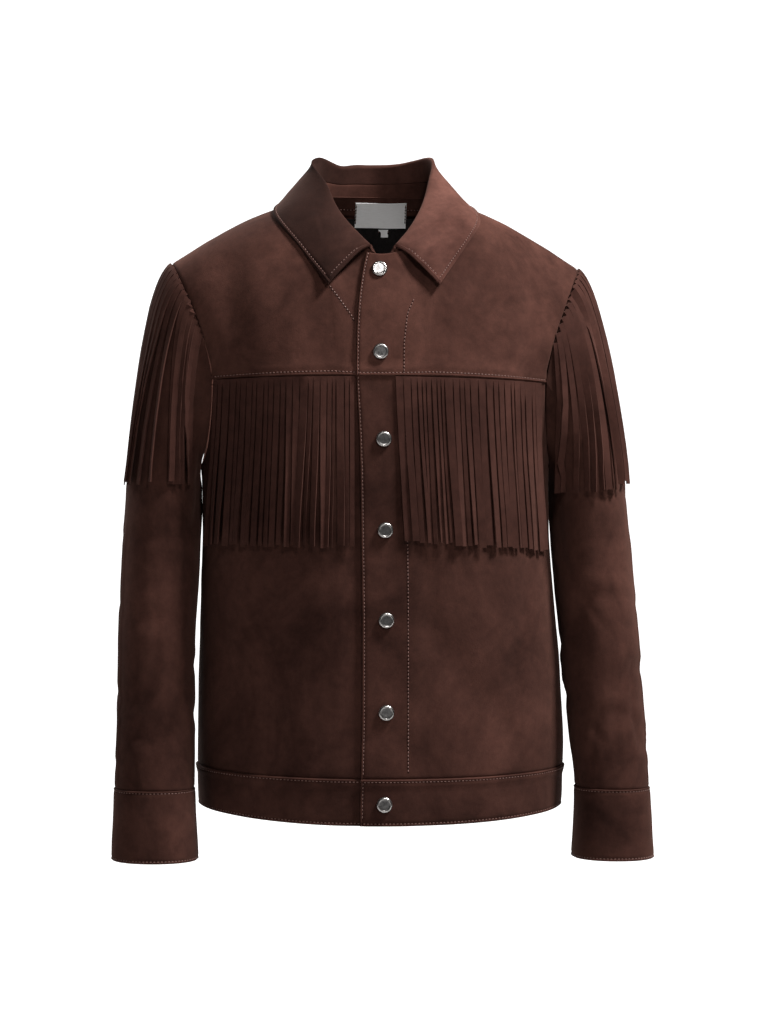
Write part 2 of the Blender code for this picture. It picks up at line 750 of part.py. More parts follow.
def body_fringe(row, surface):
    """Strands under a yoke seam, lying on the panel below it."""
    pitch = (row.to_x - row.from_x) / row.strands
    strands = []
    for k in range(row.strands):
        x = row.from_x + pitch * (k + 0.5)
        angle = body_angle(1, x, YOKE_LINE)
        top = YOKE_LINE + rise(YOKE_LINE) * math.cos(angle) ** 2 - STRIP_TOP
        end = FRINGE_END + uneven(k, 0.002)
        levels = [top] + [top - STRIP_DEEP + (end - top + STRIP_DEEP) * s for s in FRINGE_STEPS]
        frames = []
        for z in levels:
            share = (top - z) / (top - end)
            place, outward = surface.across(x + (row.lean + uneven(k, 0.0006)) * share, z, row.face)
            outward = unit(outward * (1, 1, 0))
            sideways = np.cross(UP, outward)
            width = (pitch - STRAND_GAP) / max(abs(sideways[0]), 0.5)
            place = place + outward * (STRAND_OFF + STRAND_LIFT * share)
            frames.append((place, outward, sideways * width / 2))
        strands.append(frames)
    ordered = strands if row.face < 0 else strands[::-1]
    fringe(row.name, ordered)


def sleeve_fringe(panels, side, angles):
    """Strands from the upper armhole seam, lying over the sleeve and cut level."""
    loop, _ = armhole_loop(panels, side)
    turns = np.unwrap(angles)
    front = next(i for i, point in enumerate(loop) if point[2] < SLEEVE_FRINGE_TO)
    back = next(i for i in range(len(loop) - 1, 0, -1) if loop[i][2] < SLEEVE_FRINGE_TO)
    order = list(range(back, len(loop))) + list(range(0, front + 1))
    line = loop[order]
    line_turns = [turns[i] - (2 * math.pi if i >= back else 0.0) for i in order]
    lengths = np.concatenate([[0.0], np.cumsum(np.linalg.norm(np.diff(line, axis=0), axis=1))])
    marks = (np.arange(SLEEVE_STRANDS) + 0.5) / SLEEVE_STRANDS * lengths[-1]
    tips = np.linspace(-TIP_TURN, TIP_TURN, SLEEVE_STRANDS) * math.pi
    strands = []
    for mark, tip in zip(marks, tips):
        start = np.array([np.interp(mark, lengths, line[:, i]) for i in range(3)])
        turn = (1 - TIP_SPREAD) * np.interp(mark, lengths, line_turns) + TIP_SPREAD * tip
        strands.append(sleeve_strand(side, start, turn))
    if side < 0:
        strands = strands[::-1]
    fringe("fringe_sleeve_left" if side > 0 else "fringe_sleeve_right", strands)


def sleeve_strand(side, start, turn):
    """Frames of one strand, from the armhole down over the outside of the sleeve."""
    frames = []
    axis_x = side * sleeve_sizes(CAP_END)[0] * CAP_AXIS[0]
    for step in SLEEVE_STEPS:
        place = cap_point(side, start, turn, step)
        ahead = cap_point(side, start, turn, step + NEARBY)
        beside = cap_point(side, start, turn + NEARBY, step)
        down = unit(ahead - place)
        across = unit(beside - place)
        outward = unit(np.cross(across, down)) * side
        middle = np.array([axis_x, 0.0, place[2] - CAP_AXIS[1]])
        if outward @ (place - middle) < 0:
            outward = -outward
        sideways = np.cross(down, outward)
        place = place + outward * (SLEEVE_STRAND_OFF + SLEEVE_FLARE * step ** 2)
        frames.append((place, outward, sideways * SLEEVE_STRAND_WIDE / 2))
    return frames


def add_snaps(surface):
    """Seven low round caps with a bevelled rim, each square to the cloth under it."""
    for number, z in enumerate(SNAP_HEIGHTS, start=1):
        place, outward = surface.across(0.0, z, -1)
        angles = np.arange(SNAP_SIDES) * 2 * math.pi / SNAP_SIDES
        points = [
            (row.radius * math.cos(a), row.radius * math.sin(a), row.height)
            for row in SNAP_ROWS
            for a in angles
        ]
        faces = [tuple(range(SNAP_SIDES)), tuple(range(len(points) - SNAP_SIDES, len(points)))]
        for r in range(len(SNAP_ROWS) - 1):
            for c in range(SNAP_SIDES):
                a = r * SNAP_SIDES + c
                b = r * SNAP_SIDES + (c + 1) % SNAP_SIDES
                faces.append((a, b, b + SNAP_SIDES, a + SNAP_SIDES))
        cap = add_mesh("snap_%d" % number, points, faces, GUNMETAL, 0.3, 1.0)
        turn = Vector((0, 0, 1)).rotation_difference(Vector(outward)).to_matrix().to_4x4()
        cap.matrix_world = Matrix.Translation(Vector(place + outward * SNAP_OFF)) @ turn


def inner_copy(name, panel, rows, columns):
    """A piece inside part of a panel, at a small distance from its inner face."""
    grid = panel.grid[rows, columns] - panel.normals[rows, columns] * (panel.wall + LINING_OFF)
    inside = Panel(name, grid, 1, wall=LINING_WALL)
    inside.normals = panel.normals[rows, columns].copy()
    return inside


def add_tab(name, at, size, surface, colour):
    """A flat blank piece of ribbon that lies inside the back of the neck."""
    rows = []
    for z in np.linspace(at[1] + size[1] / 2, at[1] - size[1] / 2, 4):
        row = []
        for x in np.linspace(at[0] - size[0] / 2, at[0] + size[0] / 2, 7):
            place, outward = surface.across(x, z, 1)
            row.append(place - outward * (WALL + LINING_OFF + LINING_WALL + TAB_OFF))
        rows.append(row)
    add_wall(Panel(name, np.array(rows), 1, wall=LINING_WALL), colour, 0.6)


def add_neck_inside(yoke, surface):
    """The facing along the back neckline, the lining under it, the label and its tab."""
    middle = yoke.grid.shape[1] // 2
    neck = slice(middle - NECK_SPANS + 1, middle + NECK_SPANS)
    under = slice(middle - LINING_REACH, middle + LINING_REACH + 1)
    facing = inner_copy("neck_facing", yoke, slice(0, 2), neck)
    lining = inner_copy("lining_back", yoke, slice(1, 6), under)
    draw_in(facing, ["bottom"])
    draw_in(lining, ["top"])
    add_wall(facing)
    add_wall(lining, SATIN, 0.35)
    add_tab("label", LABEL_AT, LABEL_SIZE, surface, SILVER_CLOTH)
    add_tab("size_tab", TAB_AT, TAB_SIZE, surface, SILVER_CLOTH)


def main():
    clear_scene()
    panels = body_panels()
    body = list(panels.values())
    band = waistband_panel()
    share_normals([*body, band])
    surface = Surface([*body, band])
    yoke_inside = Panel("yoke_inside", panels["yoke_back"].grid.copy(), 1)
    yoke_inside.normals = panels["yoke_back"].normals.copy()
    sleeves = {side: sleeve_panel(panels, side) for side in (1, -1)}
    for row in FRINGE_ROWS:
        body_fringe(row, surface)
    for side, (_, angles) in sleeves.items():
        sleeve_fringe(panels, side, angles)
    for sleeve, _ in sleeves.values():
        join_armhole(body, sleeve)
    stand, leaf = collar_panels(body)
    for name in ("front_left", "front_right"):
        draw_in(panels[name], ["top", "bottom", "last"])
    draw_in(panels["back"], ["top", "bottom", "first", "last"])
    for name in ("yoke_front_left", "yoke_front_right"):
        draw_in(panels[name], ["top", "bottom", "last"])
    draw_in(panels["yoke_back"], ["top", "bottom", "first", "last"])
    draw_in(band, ["top"])
    for panel in (*body, band, stand, leaf):
        add_wall(panel)
    for side, (sleeve, angles) in sleeves.items():
        draw_in(sleeve, ["bottom"])
        add_wall(sleeve)
        cuff = cuff_panel(side, angles)
        draw_in(cuff, ["top"])
        add_wall(cuff)
    add_snaps(surface)
    add_neck_inside(yoke_inside, surface)


main()
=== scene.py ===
"""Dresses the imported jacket: its suede and satin, edges, seams, stitches, fringe and snaps.

Metres, +Z up. The front faces -Y and the wearer's left is at +X. The cloth follows the same
sizes as the part's own panels, divided more finely.
"""

import json
import math
from collections import namedtuple

import bmesh
import bpy
import numpy as np
from mathutils import Matrix, Vector, noise
from mathutils.bvhtree import BVHTree

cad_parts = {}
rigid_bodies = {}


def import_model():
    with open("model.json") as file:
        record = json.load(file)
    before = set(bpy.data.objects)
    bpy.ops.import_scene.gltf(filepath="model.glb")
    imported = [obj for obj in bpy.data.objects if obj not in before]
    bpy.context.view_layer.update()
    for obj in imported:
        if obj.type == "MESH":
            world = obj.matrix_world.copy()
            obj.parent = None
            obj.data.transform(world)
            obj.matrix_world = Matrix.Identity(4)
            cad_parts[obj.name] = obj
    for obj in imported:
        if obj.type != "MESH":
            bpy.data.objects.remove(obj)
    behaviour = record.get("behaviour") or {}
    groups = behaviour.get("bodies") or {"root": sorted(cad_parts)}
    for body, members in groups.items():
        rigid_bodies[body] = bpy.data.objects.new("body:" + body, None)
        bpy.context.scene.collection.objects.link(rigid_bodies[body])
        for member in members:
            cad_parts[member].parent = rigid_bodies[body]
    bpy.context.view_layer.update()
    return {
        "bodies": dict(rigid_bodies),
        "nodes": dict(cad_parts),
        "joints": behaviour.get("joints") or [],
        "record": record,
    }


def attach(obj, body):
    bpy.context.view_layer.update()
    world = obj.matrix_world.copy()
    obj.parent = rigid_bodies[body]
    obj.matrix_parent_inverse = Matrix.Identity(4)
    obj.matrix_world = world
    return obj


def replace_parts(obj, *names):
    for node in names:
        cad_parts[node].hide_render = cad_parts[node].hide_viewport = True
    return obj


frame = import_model()


def table(columns, *rows):
    """Rows of values with named columns."""
    Row = namedtuple("Row", columns)
    return [Row(*row) for row in rows]


# Cloth and sewing
WALL = 0.0016
BAND_WALL = 0.0026
LINING_WALL = 0.0010
SEAM = 0.0004
UP = np.array([0.0, 0.0, 1.0])

# Closing: how far each front reaches past the middle, and the step between the two layers
OVERLAP = 0.025
UNDERLAP = 0.022
NECK_REACH = 0.12
STEP = 0.0018
STEP_FROM = 0.048
STEP_RUN = 0.026

# How far the closing strays from the middle line on its way down
STRAY_ROWS = table(
    "z x",
    (-0.620, 0.0018),
    (-0.530, 0.0034),
    (-0.430, 0.0030),
    (-0.340, 0.0015),
    (-0.250, -0.0003),
    (-0.188, -0.0036),
    (-0.050, -0.0040),
)

# Roundness of the body and sleeve sections, as the power of a superellipse
BODY_POWER = 2.3
SLEEVE_POWER = 2.15

# How the hanging body and sleeves drift to the wearer's left towards the hem
LEAN_FROM = -0.25
LEAN_RUN = 0.35
BODY_LEAN = 0.008
SleeveLean = namedtuple("SleeveLean", "most start run late wider cuff_wider")
SLEEVE_LEANS = {
    1: SleeveLean(0.0065, -0.28, 0.34, 0.0015, 0.0002, 0.0),
    -1: SleeveLean(0.0055, -0.14, 0.20, 0.0048, -0.0005, 0.0016),
}
LATE_FROM = -0.46
LATE_RUN = 0.20
WIDER_AT = -0.40
WIDER_RUN = 0.09
CUFF_WIDER_FROM = -0.53
CUFF_WIDER_RUN = 0.08

# How many spans each surface is divided into
YOKE_ROWS = 46
NECK_SPANS = 34
RIDGE_SPANS = 32
BODY_SPANS = 60
ARM_SPANS = 20
LOWER_SPANS = 66
BAND_SPANS = 20
CAP_SPANS = 44
SLEEVE_SPANS = 60
CUFF_SPANS = 26
STAND_SPANS = 12
LEAF_SPANS = 26
COLLAR_SPANS = 90

# Heights of the level lines at the side of the body
YOKE_LINE = -0.188
UNDERARM = -0.275
WAIST_LINE = -0.593
HEM_LINE = -0.636

BODY_ROWS = table(
    "z half_width front back",
    (-0.650, 0.195, 0.130, 0.120),
    (-0.600, 0.197, 0.130, 0.119),
    (-0.500, 0.195, 0.129, 0.117),
    (-0.400, 0.189, 0.128, 0.115),
    (-0.330, 0.187, 0.1275, 0.115),
    (-0.275, 0.188, 0.1265, 0.116),
    (-0.230, 0.195, 0.1245, 0.117),
    (-0.188, 0.205, 0.122, 0.118),
    (-0.150, 0.218, 0.119, 0.118),
)

# How far the middle of the front and back lies above the side, for a level line
BEND_ROWS = table(
    "z rise",
    (-0.636, -0.0105),
    (-0.593, -0.0050),
    (-0.450, 0.0),
    (-0.275, 0.0),
    (-0.188, 0.0045),
)

ARMHOLE_ROWS = table(
    "z front_x back_x",
    (-0.188, 0.1760, 0.1820),
    (-0.212, 0.1765, 0.1812),
    (-0.236, 0.1785, 0.1818),
    (-0.256, 0.1815, 0.1835),
    (-0.268, 0.1852, 0.1858),
    (-0.275, 0.1880, 0.1880),
)

# Neckline from the middle of the front, t 0, past the shoulder line, 0.5, to the back, 1
NECK_ROWS = table(
    "t x y z",
    (-0.10, -0.0220, -0.0945, -0.0505),
    (0.00, 0.0000, -0.0990, -0.0550),
    (0.10, 0.0220, -0.0945, -0.0505),
    (0.20, 0.0420, -0.0790, -0.0385),
    (0.32, 0.0580, -0.0520, -0.0180),
    (0.43, 0.0685, -0.0220, 0.0030),
    (0.50, 0.0720, 0.0000, 0.0145),
    (0.60, 0.0695, 0.0220, 0.0200),
    (0.75, 0.0560, 0.0450, 0.0235),
    (0.88, 0.0300, 0.0610, 0.0255),
    (1.00, 0.0000, 0.0660, 0.0260),
    (1.12, -0.0300, 0.0610, 0.0255),
)
SIDE_OF_NECK = 0.5

RIDGE_ROWS = table(
    "x z",
    (0.0720, 0.0145),
    (0.1094, 0.0015),
    (0.1453, -0.0145),
    (0.1741, -0.0302),
    (0.2002, -0.0464),
    (0.2190, -0.0585),
)

SLEEVE_TABLE = table(
    "z centre_x half_width centre_y half_depth",
    (-0.6875, 0.2429, 0.0430, -0.0620, 0.0440),
    (-0.6135, 0.2432, 0.0396, -0.0540, 0.0415),
    (-0.5600, 0.2412, 0.0407, -0.0440, 0.0460),
    (-0.5100, 0.2393, 0.0417, -0.0340, 0.0510),
    (-0.4500, 0.2382, 0.0420, -0.0230, 0.0570),
    (-0.4000, 0.2358, 0.0422, -0.0150, 0.0610),
    (-0.3500, 0.2330, 0.0420, -0.0080, 0.0640),
    (-0.3000, 0.2305, 0.0408, -0.0020, 0.0660),
)
CAP_END = -0.300

# Shape of the cap: which way it leaves the seam, under the arm and more at the shoulder, how
# soon it turns down, and how straight it meets the full sleeve
CAP_OUT = (0.35, 0.50)
CAP_DOWN = -0.53
CAP_ROUND = 0.12
CAP_INWARD = 0.009
CAP_UPRIGHT = 0.42

CUFF_LINE = -0.6135
CUFF_END = -0.6875
CUFF_PROUD = 0.0008

# Collar sections: u is 0 at the front end and 1 at the middle of the back, t is the neckline's
COLLAR_ROWS = table(
    "u t fold_x fold_y fold_z edge_x edge_y edge_z",
    (0.00, 0.030, 0.0105, -0.0985, -0.0460, 0.0588, -0.1150, -0.0870),
    (0.15, 0.165, 0.0274, -0.0770, -0.0256, 0.0755, -0.0900, -0.0635),
    (0.35, 0.320, 0.0454, -0.0450, 0.0060, 0.0900, -0.0550, -0.0380),
    (0.50, 0.420, 0.0541, -0.0200, 0.0335, 0.0985, -0.0300, -0.0180),
    (0.62, 0.510, 0.0600, 0.0040, 0.0567, 0.1050, 0.0040, 0.0080),
    (0.80, 0.750, 0.0450, 0.0400, 0.0580, 0.0800, 0.0620, 0.0060),
    (1.00, 1.000, 0.0000, 0.0580, 0.0600, 0.0000, 0.0960, 0.0040),
    (1.20, 1.120, -0.0450, 0.0400, 0.0580, -0.0800, 0.0620, 0.0060),
)
# How the soft collar strays from that: its fold rises and falls, and its edge lies in or out
UNEVEN_ROWS = table(
    "side u width lift fold_out edge_out edge_lift",
    (1, 0.77, 0.11, 0.0058, -0.0010, 0.0, 0.0),
    (-1, 0.62, 0.10, -0.0034, 0.0060, 0.0, 0.0),
    (-1, 0.75, 0.07, 0.0048, 0.0, 0.0, 0.0),
    (-1, 0.87, 0.04, -0.0022, 0.0, 0.0, 0.0),
    (1, 0.66, 0.14, 0.0, 0.0, -0.0140, 0.0075),
    (-1, 0.60, 0.20, 0.0, 0.0, 0.0030, 0.0),
)
FOLD_RADIUS = 0.0040
STAND_SHARE = 0.42
LEAF_BULGE = 0.0060
COLLAR_CLEAR = 0.0042
NECK_CLEAR = 0.0110
CLEAR_REACH = 0.06
LOOK_REACH = 0.04
STAND_LIFT = -0.0024
LEAF_ROUNDS = 140
EDGE_ROUNDS = 60
LEAF_CLEAR = 0.0034

# Soft folds pressed into the panels: a point on the fold, its slant from upright, its sizes
FOLD_ROWS = table(
    "face x z slant length width depth",
    (-1, -0.152, -0.110, 4.0, 0.060, 0.016, 0.0040),
    (-1, 0.158, -0.110, -6.0, 0.060, 0.014, 0.0045),
    (-1, 0.082, -0.495, 32.0, 0.085, 0.020, 0.0035),
    (-1, -0.095, -0.470, -24.0, 0.080, 0.022, 0.0025),
    (-1, 0.150, -0.430, -8.0, 0.090, 0.012, 0.0028),
    (-1, 0.128, -0.540, 24.0, 0.045, 0.012, 0.0022),
    (-1, -0.165, -0.450, 7.0, 0.100, 0.014, 0.0030),
    (-1, -0.052, -0.562, -38.0, 0.034, 0.009, 0.0022),
    (-1, -0.088, -0.572, -30.0, 0.028, 0.008, 0.0016),
    (-1, 0.100, -0.085, 52.0, 0.045, 0.016, 0.0018),
    (-1, -0.095, -0.080, -48.0, 0.050, 0.016, 0.0020),
    (-1, 0.048, -0.390, 6.0, 0.060, 0.010, 0.0014),
    (1, 0.060, -0.350, 12.0, 0.070, 0.016, 0.0026),
    (1, -0.050, -0.560, 40.0, 0.050, 0.012, 0.0024),
    (1, 0.085, -0.565, -36.0, 0.045, 0.012, 0.0022),
    (1, 0.160, -0.330, -10.0, 0.070, 0.014, 0.0030),
    (1, -0.160, -0.330, 12.0, 0.070, 0.014, 0.0030),
    (1, 0.120, -0.430, -18.0, 0.100, 0.024, 0.0040),
    (1, -0.110, -0.470, 22.0, 0.090, 0.024, 0.0040),
    (1, 0.010, -0.520, 3.0, 0.080, 0.026, 0.0030),
    (1, 0.150, -0.130, 8.0, 0.060, 0.018, 0.0035),
    (1, -0.150, -0.130, -8.0, 0.060, 0.018, 0.0035),
)

# Snaps down the closing, under the collar to the waistband
SNAP_HEIGHTS = (-0.0715, -0.1582, -0.2485, -0.3423, -0.4348, -0.5296, -0.6239)
SNAP_OFF = 0.0006

# What shows inside the back of the neck
LINING_OFF = 0.0010
FACING_ROWS = 10
LINING_END = 38
LINING_SPANS = 12
LINING_FOLD = 0.0011
TAB_OFF = 0.0005
TAB_BOW = 0.0007
LABEL_AT = (0.0110, 0.0075)
LABEL_SIZE = (0.058, 0.026)
TAB_AT = (0.0145, -0.0112)
TAB_SIZE = (0.011, 0.008)

# The rows crowded near an edge, as multiples of the first step, and how far the cloth is sunk or
# lifted at each: rolled over and pulled in by its stitches, plain, or lapped over another piece
EDGE = 0.0028
NEAR = np.array([0.0, 0.4, 0.9, 1.5, 2.4])
STITCHED = np.array([0.0012, -0.0002, 0.0009, 0.0001, 0.0])
PLAIN = np.array([0.0010, 0.0004, 0.0001, 0.0, 0.0])
LAPPED = np.array([0.0014, 0.0018, 0.0019, 0.0016, 0.0009])
STITCH_ROW = 2

# The wearer's side for each sign of x
WORDS = {1: "left", -1: "right"}

# Unevenness of the hide: how often it varies in a metre, and by how much
LUMP_ROWS = table(
    "often height",
    (9.0, 0.0016),
    (24.0, 0.0006),
    (60.0, 0.00022),
)

# Narrower pieces than this count as trim and not sheets of cloth; each piece's cut is compared with
# it, and the result is not used
SMALLEST_CUT = 0.012

# Thread: the length, spacing and half width of a stitch, and the dark dots between stitches, painted
# shade for the needle holes
STITCH_LONG = 0.0023
STITCH_PITCH = 0.0038
STITCH_THICK = 0.00050
STITCH_SIDES = 5
# Rings of a stitch: how far along it each lies, and its rise and radius for each thread's width
STITCH_RINGS = ((0, -0.25, 0.55), (0.25, 0.7, 1.0), (0.75, 0.7, 1.0), (1, -0.25, 0.55))
HOLE_SIDES = 6
HOLE_RADIUS = 0.00090
HOLE_LIFT = 0.00022


def unit(vector):
    vector = np.asarray(vector, dtype=float)
    return vector / max(np.linalg.norm(vector), 1e-12)


def lengths_along(line):
    """How far each point of a line is from its first, along the line."""
    steps = np.linalg.norm(np.diff(line, axis=0), axis=1)
    return np.concatenate([[0.0], np.cumsum(steps)])


def soft_step(value):
    value = min(max(value, 0.0), 1.0)
    return value * value * (3 - 2 * value)


def bezier(s):
    """Shares of four control points at s along a curve."""
    return ((1 - s) ** 3, 3 * (1 - s) ** 2 * s, 3 * (1 - s) * s * s, s ** 3)


def curve_through(rows, key, *columns):
    """A smooth curve through the named columns of a table, as a function of its key column."""
    at = np.array([getattr(row, key) for row in rows])
    values = np.array([[getattr(row, name) for name in columns] for row in rows])
    slopes = np.gradient(values, at, axis=0)

    def point(t):
        i = int(np.clip(np.searchsorted(at, t) - 1, 0, len(at) - 2))
        step = at[i + 1] - at[i]
        s = (t - at[i]) / step
        return (
            values[i] * (1 + 2 * s) * (1 - s) ** 2
            + slopes[i] * step * s * (1 - s) ** 2
            + values[i + 1] * s * s * (3 - 2 * s)
            + slopes[i + 1] * step * s * s * (s - 1)
        )

    return point


body_sizes = curve_through(BODY_ROWS, "z", "half_width", "front", "back")
neck_curve = curve_through(NECK_ROWS, "t", "x", "y", "z")
ridge_height = curve_through(RIDGE_ROWS, "x", "z")
armhole_x = curve_through(sorted(ARMHOLE_ROWS), "z", "front_x", "back_x")
sleeve_sizes = curve_through(SLEEVE_TABLE, "z", "centre_x", "half_width", "centre_y", "half_depth")
collar_row = curve_through(
    COLLAR_ROWS, "u", "t", "fold_x", "fold_y", "fold_z", "edge_x", "edge_y", "edge_z"
)


def lean(z, most):
    return most * soft_step((LEAN_FROM - z) / LEAN_RUN)


def sleeve_lean(side, z):
    row = SLEEVE_LEANS[side]
    late = row.late * soft_step((LATE_FROM - z) / LATE_RUN)
    return row.most * soft_step((row.start - z) / row.run) + late


def stray(z):
    return float(np.interp(z, *zip(*STRAY_ROWS)))


def rise(z):
    return float(np.interp(z, *zip(*BEND_ROWS)))


def body_angle(side, x, z):
    """The angle round the body's section at which it reaches x, seen from the given side."""
    half_width = body_sizes(z)[0]
    share = (x - side * lean(z, BODY_LEAN)) / half_width
    share = min(max(share, -1.0), 1.0)
    return math.copysign(math.asin(abs(share) ** (BODY_POWER / 2)), share)


def slanted(dx, dz, slant):
    """A step seen across and along a fold that slants from upright."""
    slant = math.radians(slant)
    across = dx * math.cos(slant) + dz * math.sin(slant)
    return across, dz * math.cos(slant) - dx * math.sin(slant)


def pressed(point, face):
    """A body point with the soft folds pressed into it."""
    depth = 0.0
    for fold in FOLD_ROWS:
        if fold.face == face:
            across, along = slanted(point[0] - fold.x, point[2] - fold.z, fold.slant)
            near = (across / fold.width) ** 2 + (along / fold.length) ** 2
            depth += fold.depth * math.exp(-near)
    return point - np.array([0.0, face * depth, 0.0])


def stepped(point, side, face):
    """The closing's outer front a little proud, and the one under it a little low."""
    if face > 0:
        return point
    share = soft_step((STEP_FROM - side * point[0]) / STEP_RUN)
    return point - np.array([0.0, side * STEP * share, 0.0])


def body_point(side, angle, z, face):
    """A point of the body's outer surface, on one side and face, at an angle from the middle."""
    half_width, front, back = body_sizes(z)
    depth = front if face < 0 else back
    power = 2 / BODY_POWER
    x = side * half_width * math.copysign(abs(math.sin(angle)) ** power, math.sin(angle))
    y = face * depth * max(math.cos(angle), 0.0) ** power
    height = z + rise(z) * math.cos(angle) ** 2
    return stepped(pressed(np.array([x + lean(z, BODY_LEAN), y, height]), face), side, face)


def edge_angle(side, face, z):
    """Where a panel starts at the middle: on the centre line, or past it at the closing."""
    if face > 0:
        return body_angle(side, 0.0, z)
    reach = OVERLAP - stray(z) if side > 0 else UNDERLAP
    return body_angle(side, -reach, z)


def crowd_start(spans, edge):
    """Shares from 0 to 1 that crowd near 0, so that an edge there can roll over."""
    return np.concatenate([NEAR * edge, np.linspace(3.6 * edge, 1.0, spans - 4)])


def crowd_end(spans, edge):
    return 1.0 - crowd_start(spans, edge)[::-1]


def crowd_both(spans, edge):
    middle = np.linspace(3.6 * edge, 1.0 - 3.6 * edge, spans - 9)
    return np.concatenate([NEAR * edge, middle, 1.0 - NEAR[::-1] * edge])


def body_heights():
    upper = YOKE_LINE + (UNDERARM - YOKE_LINE) * crowd_start(ARM_SPANS, EDGE / 0.087)
    lower = UNDERARM + (WAIST_LINE - UNDERARM) * crowd_end(LOWER_SPANS, EDGE / 0.318)
    return [*upper, *lower[1:]]


def lower_half(side, face):
    """Half of the front or back below the yoke, rows going down and columns going outward."""
    shares = crowd_both(BODY_SPANS, 0.0075) if face < 0 else crowd_end(BODY_SPANS, 0.0075)
    rows = []
    for z in body_heights():
        outer = math.pi / 2
        if z > UNDERARM + 1e-6:
            outer = body_angle(1, armhole_x(z)[0 if face < 0 else 1], z)
        start = edge_angle(side, face, z)
        rows.append([body_point(side, start + (outer - start) * s, z, face) for s in shares])
    return np.array(rows)


# The yokes' columns: how steeply they leave the neck, front and back, how that grows towards the
# shoulder, and how far the curve keeps to each end
NECK_SLOPES = {-1: math.radians(10), 1: math.radians(30)}
SLOPE_GROWTH = 1.3
SEAM_UPRIGHT = 0.55
TOP_REACH = 0.5
TOP_SHARE = 0.35
BOWS = (1.4, 1.6)


def yoke_tops(face):
    """Neck and shoulder points where the yoke's columns end, with the way down from each."""
    tops = []
    start = -NECK_REACH / 2 if face < 0 else 1.0
    flat = NECK_SLOPES[face]
    shares = crowd_start(NECK_SPANS, 0.018) if face < 0 else np.linspace(0, 1, NECK_SPANS + 1)
    for t in start + (SIDE_OF_NECK - start) * shares:
        share = abs(t) / SIDE_OF_NECK if face < 0 else (1.0 - t) / SIDE_OF_NECK
        slope = flat + (math.pi / 2 - flat) * share ** SLOPE_GROWTH
        down = np.array([0.0, face * math.sin(slope), -math.cos(slope)])
        tops.append((neck_curve(t), down))
    first = RIDGE_ROWS[0].x
    last = RIDGE_ROWS[-1].x
    for x in first + (last - first) * crowd_end(RIDGE_SPANS, 0.019)[1:]:
        tops.append((np.array([x, 0.0, ridge_height(x)[0]]), np.array([0.0, face, 0.0])))
    return tops


def yoke_column(bottom, top, down, bow):
    """A column of the yoke from its top to the seam, upright at the seam."""
    height = top[2] - bottom[2]
    low = bottom + UP * SEAM_UPRIGHT * height
    high = top + down * TOP_REACH * math.hypot(top[1] - bottom[1], TOP_SHARE * height)
    column = []
    for s in 1.0 - crowd_both(YOKE_ROWS, 0.017):
        point = sum(w * p for w, p in zip(bezier(s), (bottom, low, high, top)))
        share = min(max((point[2] - bottom[2]) / height, 0.0), 1.0)
        point[0] = bottom[0] + (top[0] - bottom[0]) * share ** bow
        column.append(point)
    return column


def yoke_half(side, face):
    """Half of a front or back yoke, rows going down and columns going outward."""
    tops = yoke_tops(face)
    first = tops[0][0][0]
    last = tops[-1][0][0]
    reach = (OVERLAP - stray(YOKE_LINE) if side > 0 else UNDERLAP) if face < 0 else 0.0
    row = ARMHOLE_ROWS[0]
    armhole = row.front_x if face < 0 else row.back_x
    columns = []
    for top, down in tops:
        share = (top[0] - first) / (last - first)
        x = -reach + (armhole + reach) * share
        bottom = body_point(side, body_angle(side, x, YOKE_LINE), YOKE_LINE, face)
        bow = BOWS[0] + BOWS[1] * (1 - share) ** 2
        top = stepped(top * (side, 1, 1), side, face)
        if side > 0 and face < 0:
            top[0] += stray(top[2]) * (1 - share) ** 6
        column = yoke_column(bottom, top, down, bow)
        columns.append([column[0], *(pressed(p, face) for p in column[1:-1]), column[-1]])
    return np.array(columns).transpose(1, 0, 2)


def whole(half, face):
    """Both halves of the back in one grid, running from -X to +X."""
    return np.concatenate([half(-1, face)[:, :0:-1], half(1, face)], axis=1)


class Panel:
    """A sewn piece: its outer surface as rows of points, and which way its outside faces."""

    def __init__(self, name, grid, sign, closed=False, wall=WALL):
        self.name = name
        self.grid = np.ascontiguousarray(grid)
        self.closed = closed
        self.wall = wall
        self.normals = surface_normals(grid, sign, closed)


def surface_normals(grid, sign, closed):
    """Outward normal at each point of a grid, from the faces round it."""
    faces_round = np.concatenate([grid, grid[:, :1]], axis=1) if closed else grid
    across = np.diff(faces_round, axis=1)
    down = np.diff(faces_round, axis=0)
    flat = np.cross(across[:-1] + across[1:], down[:, :-1] + down[:, 1:])
    total = np.zeros_like(faces_round)
    for rows in (slice(0, -1), slice(1, None)):
        for columns in (slice(0, -1), slice(1, None)):
            total[rows, columns] += flat
    if closed:
        total[:, 0] += total[:, -1]
        total = total[:, :-1]
    lengths = np.maximum(np.linalg.norm(total, axis=2, keepdims=True), 1e-12)
    return np.ascontiguousarray(sign * total / lengths)


def place_key(point):
    return tuple(np.floor(point * 2000 + 0.37).astype(int))


def share_normals(panels):
    """Give neighbours the same normal where they meet, so that their walls stay apart."""
    totals = {}
    for panel in panels:
        for point, normal in zip(panel.grid.reshape(-1, 3), panel.normals.reshape(-1, 3)):
            key = place_key(point)
            totals[key] = totals.get(key, np.zeros(3)) + normal
    for panel in panels:
        flat = panel.normals.reshape(-1, 3)
        for i, point in enumerate(panel.grid.reshape(-1, 3)):
            flat[i] = unit(totals[place_key(point)])


def edge_lines(panel, side):
    """Grid lines of a panel and their normals, from one of its sides inward."""
    every = slice(None)
    for i in range(len(NEAR)):
        places = {"top": i, "bottom": -1 - i, "first": (every, i), "last": (every, -1 - i)}
        yield panel.grid[places[side]], panel.normals[places[side]]


def draw_in(panel, sides):
    """Move the named sides of a panel in by half a seam's gap."""
    for side in sides:
        (line, _), (inner, _), *_ = edge_lines(panel, side)
        for i in range(len(line)):
            line[i] = line[i] + unit(inner[i] - line[i]) * SEAM / 2


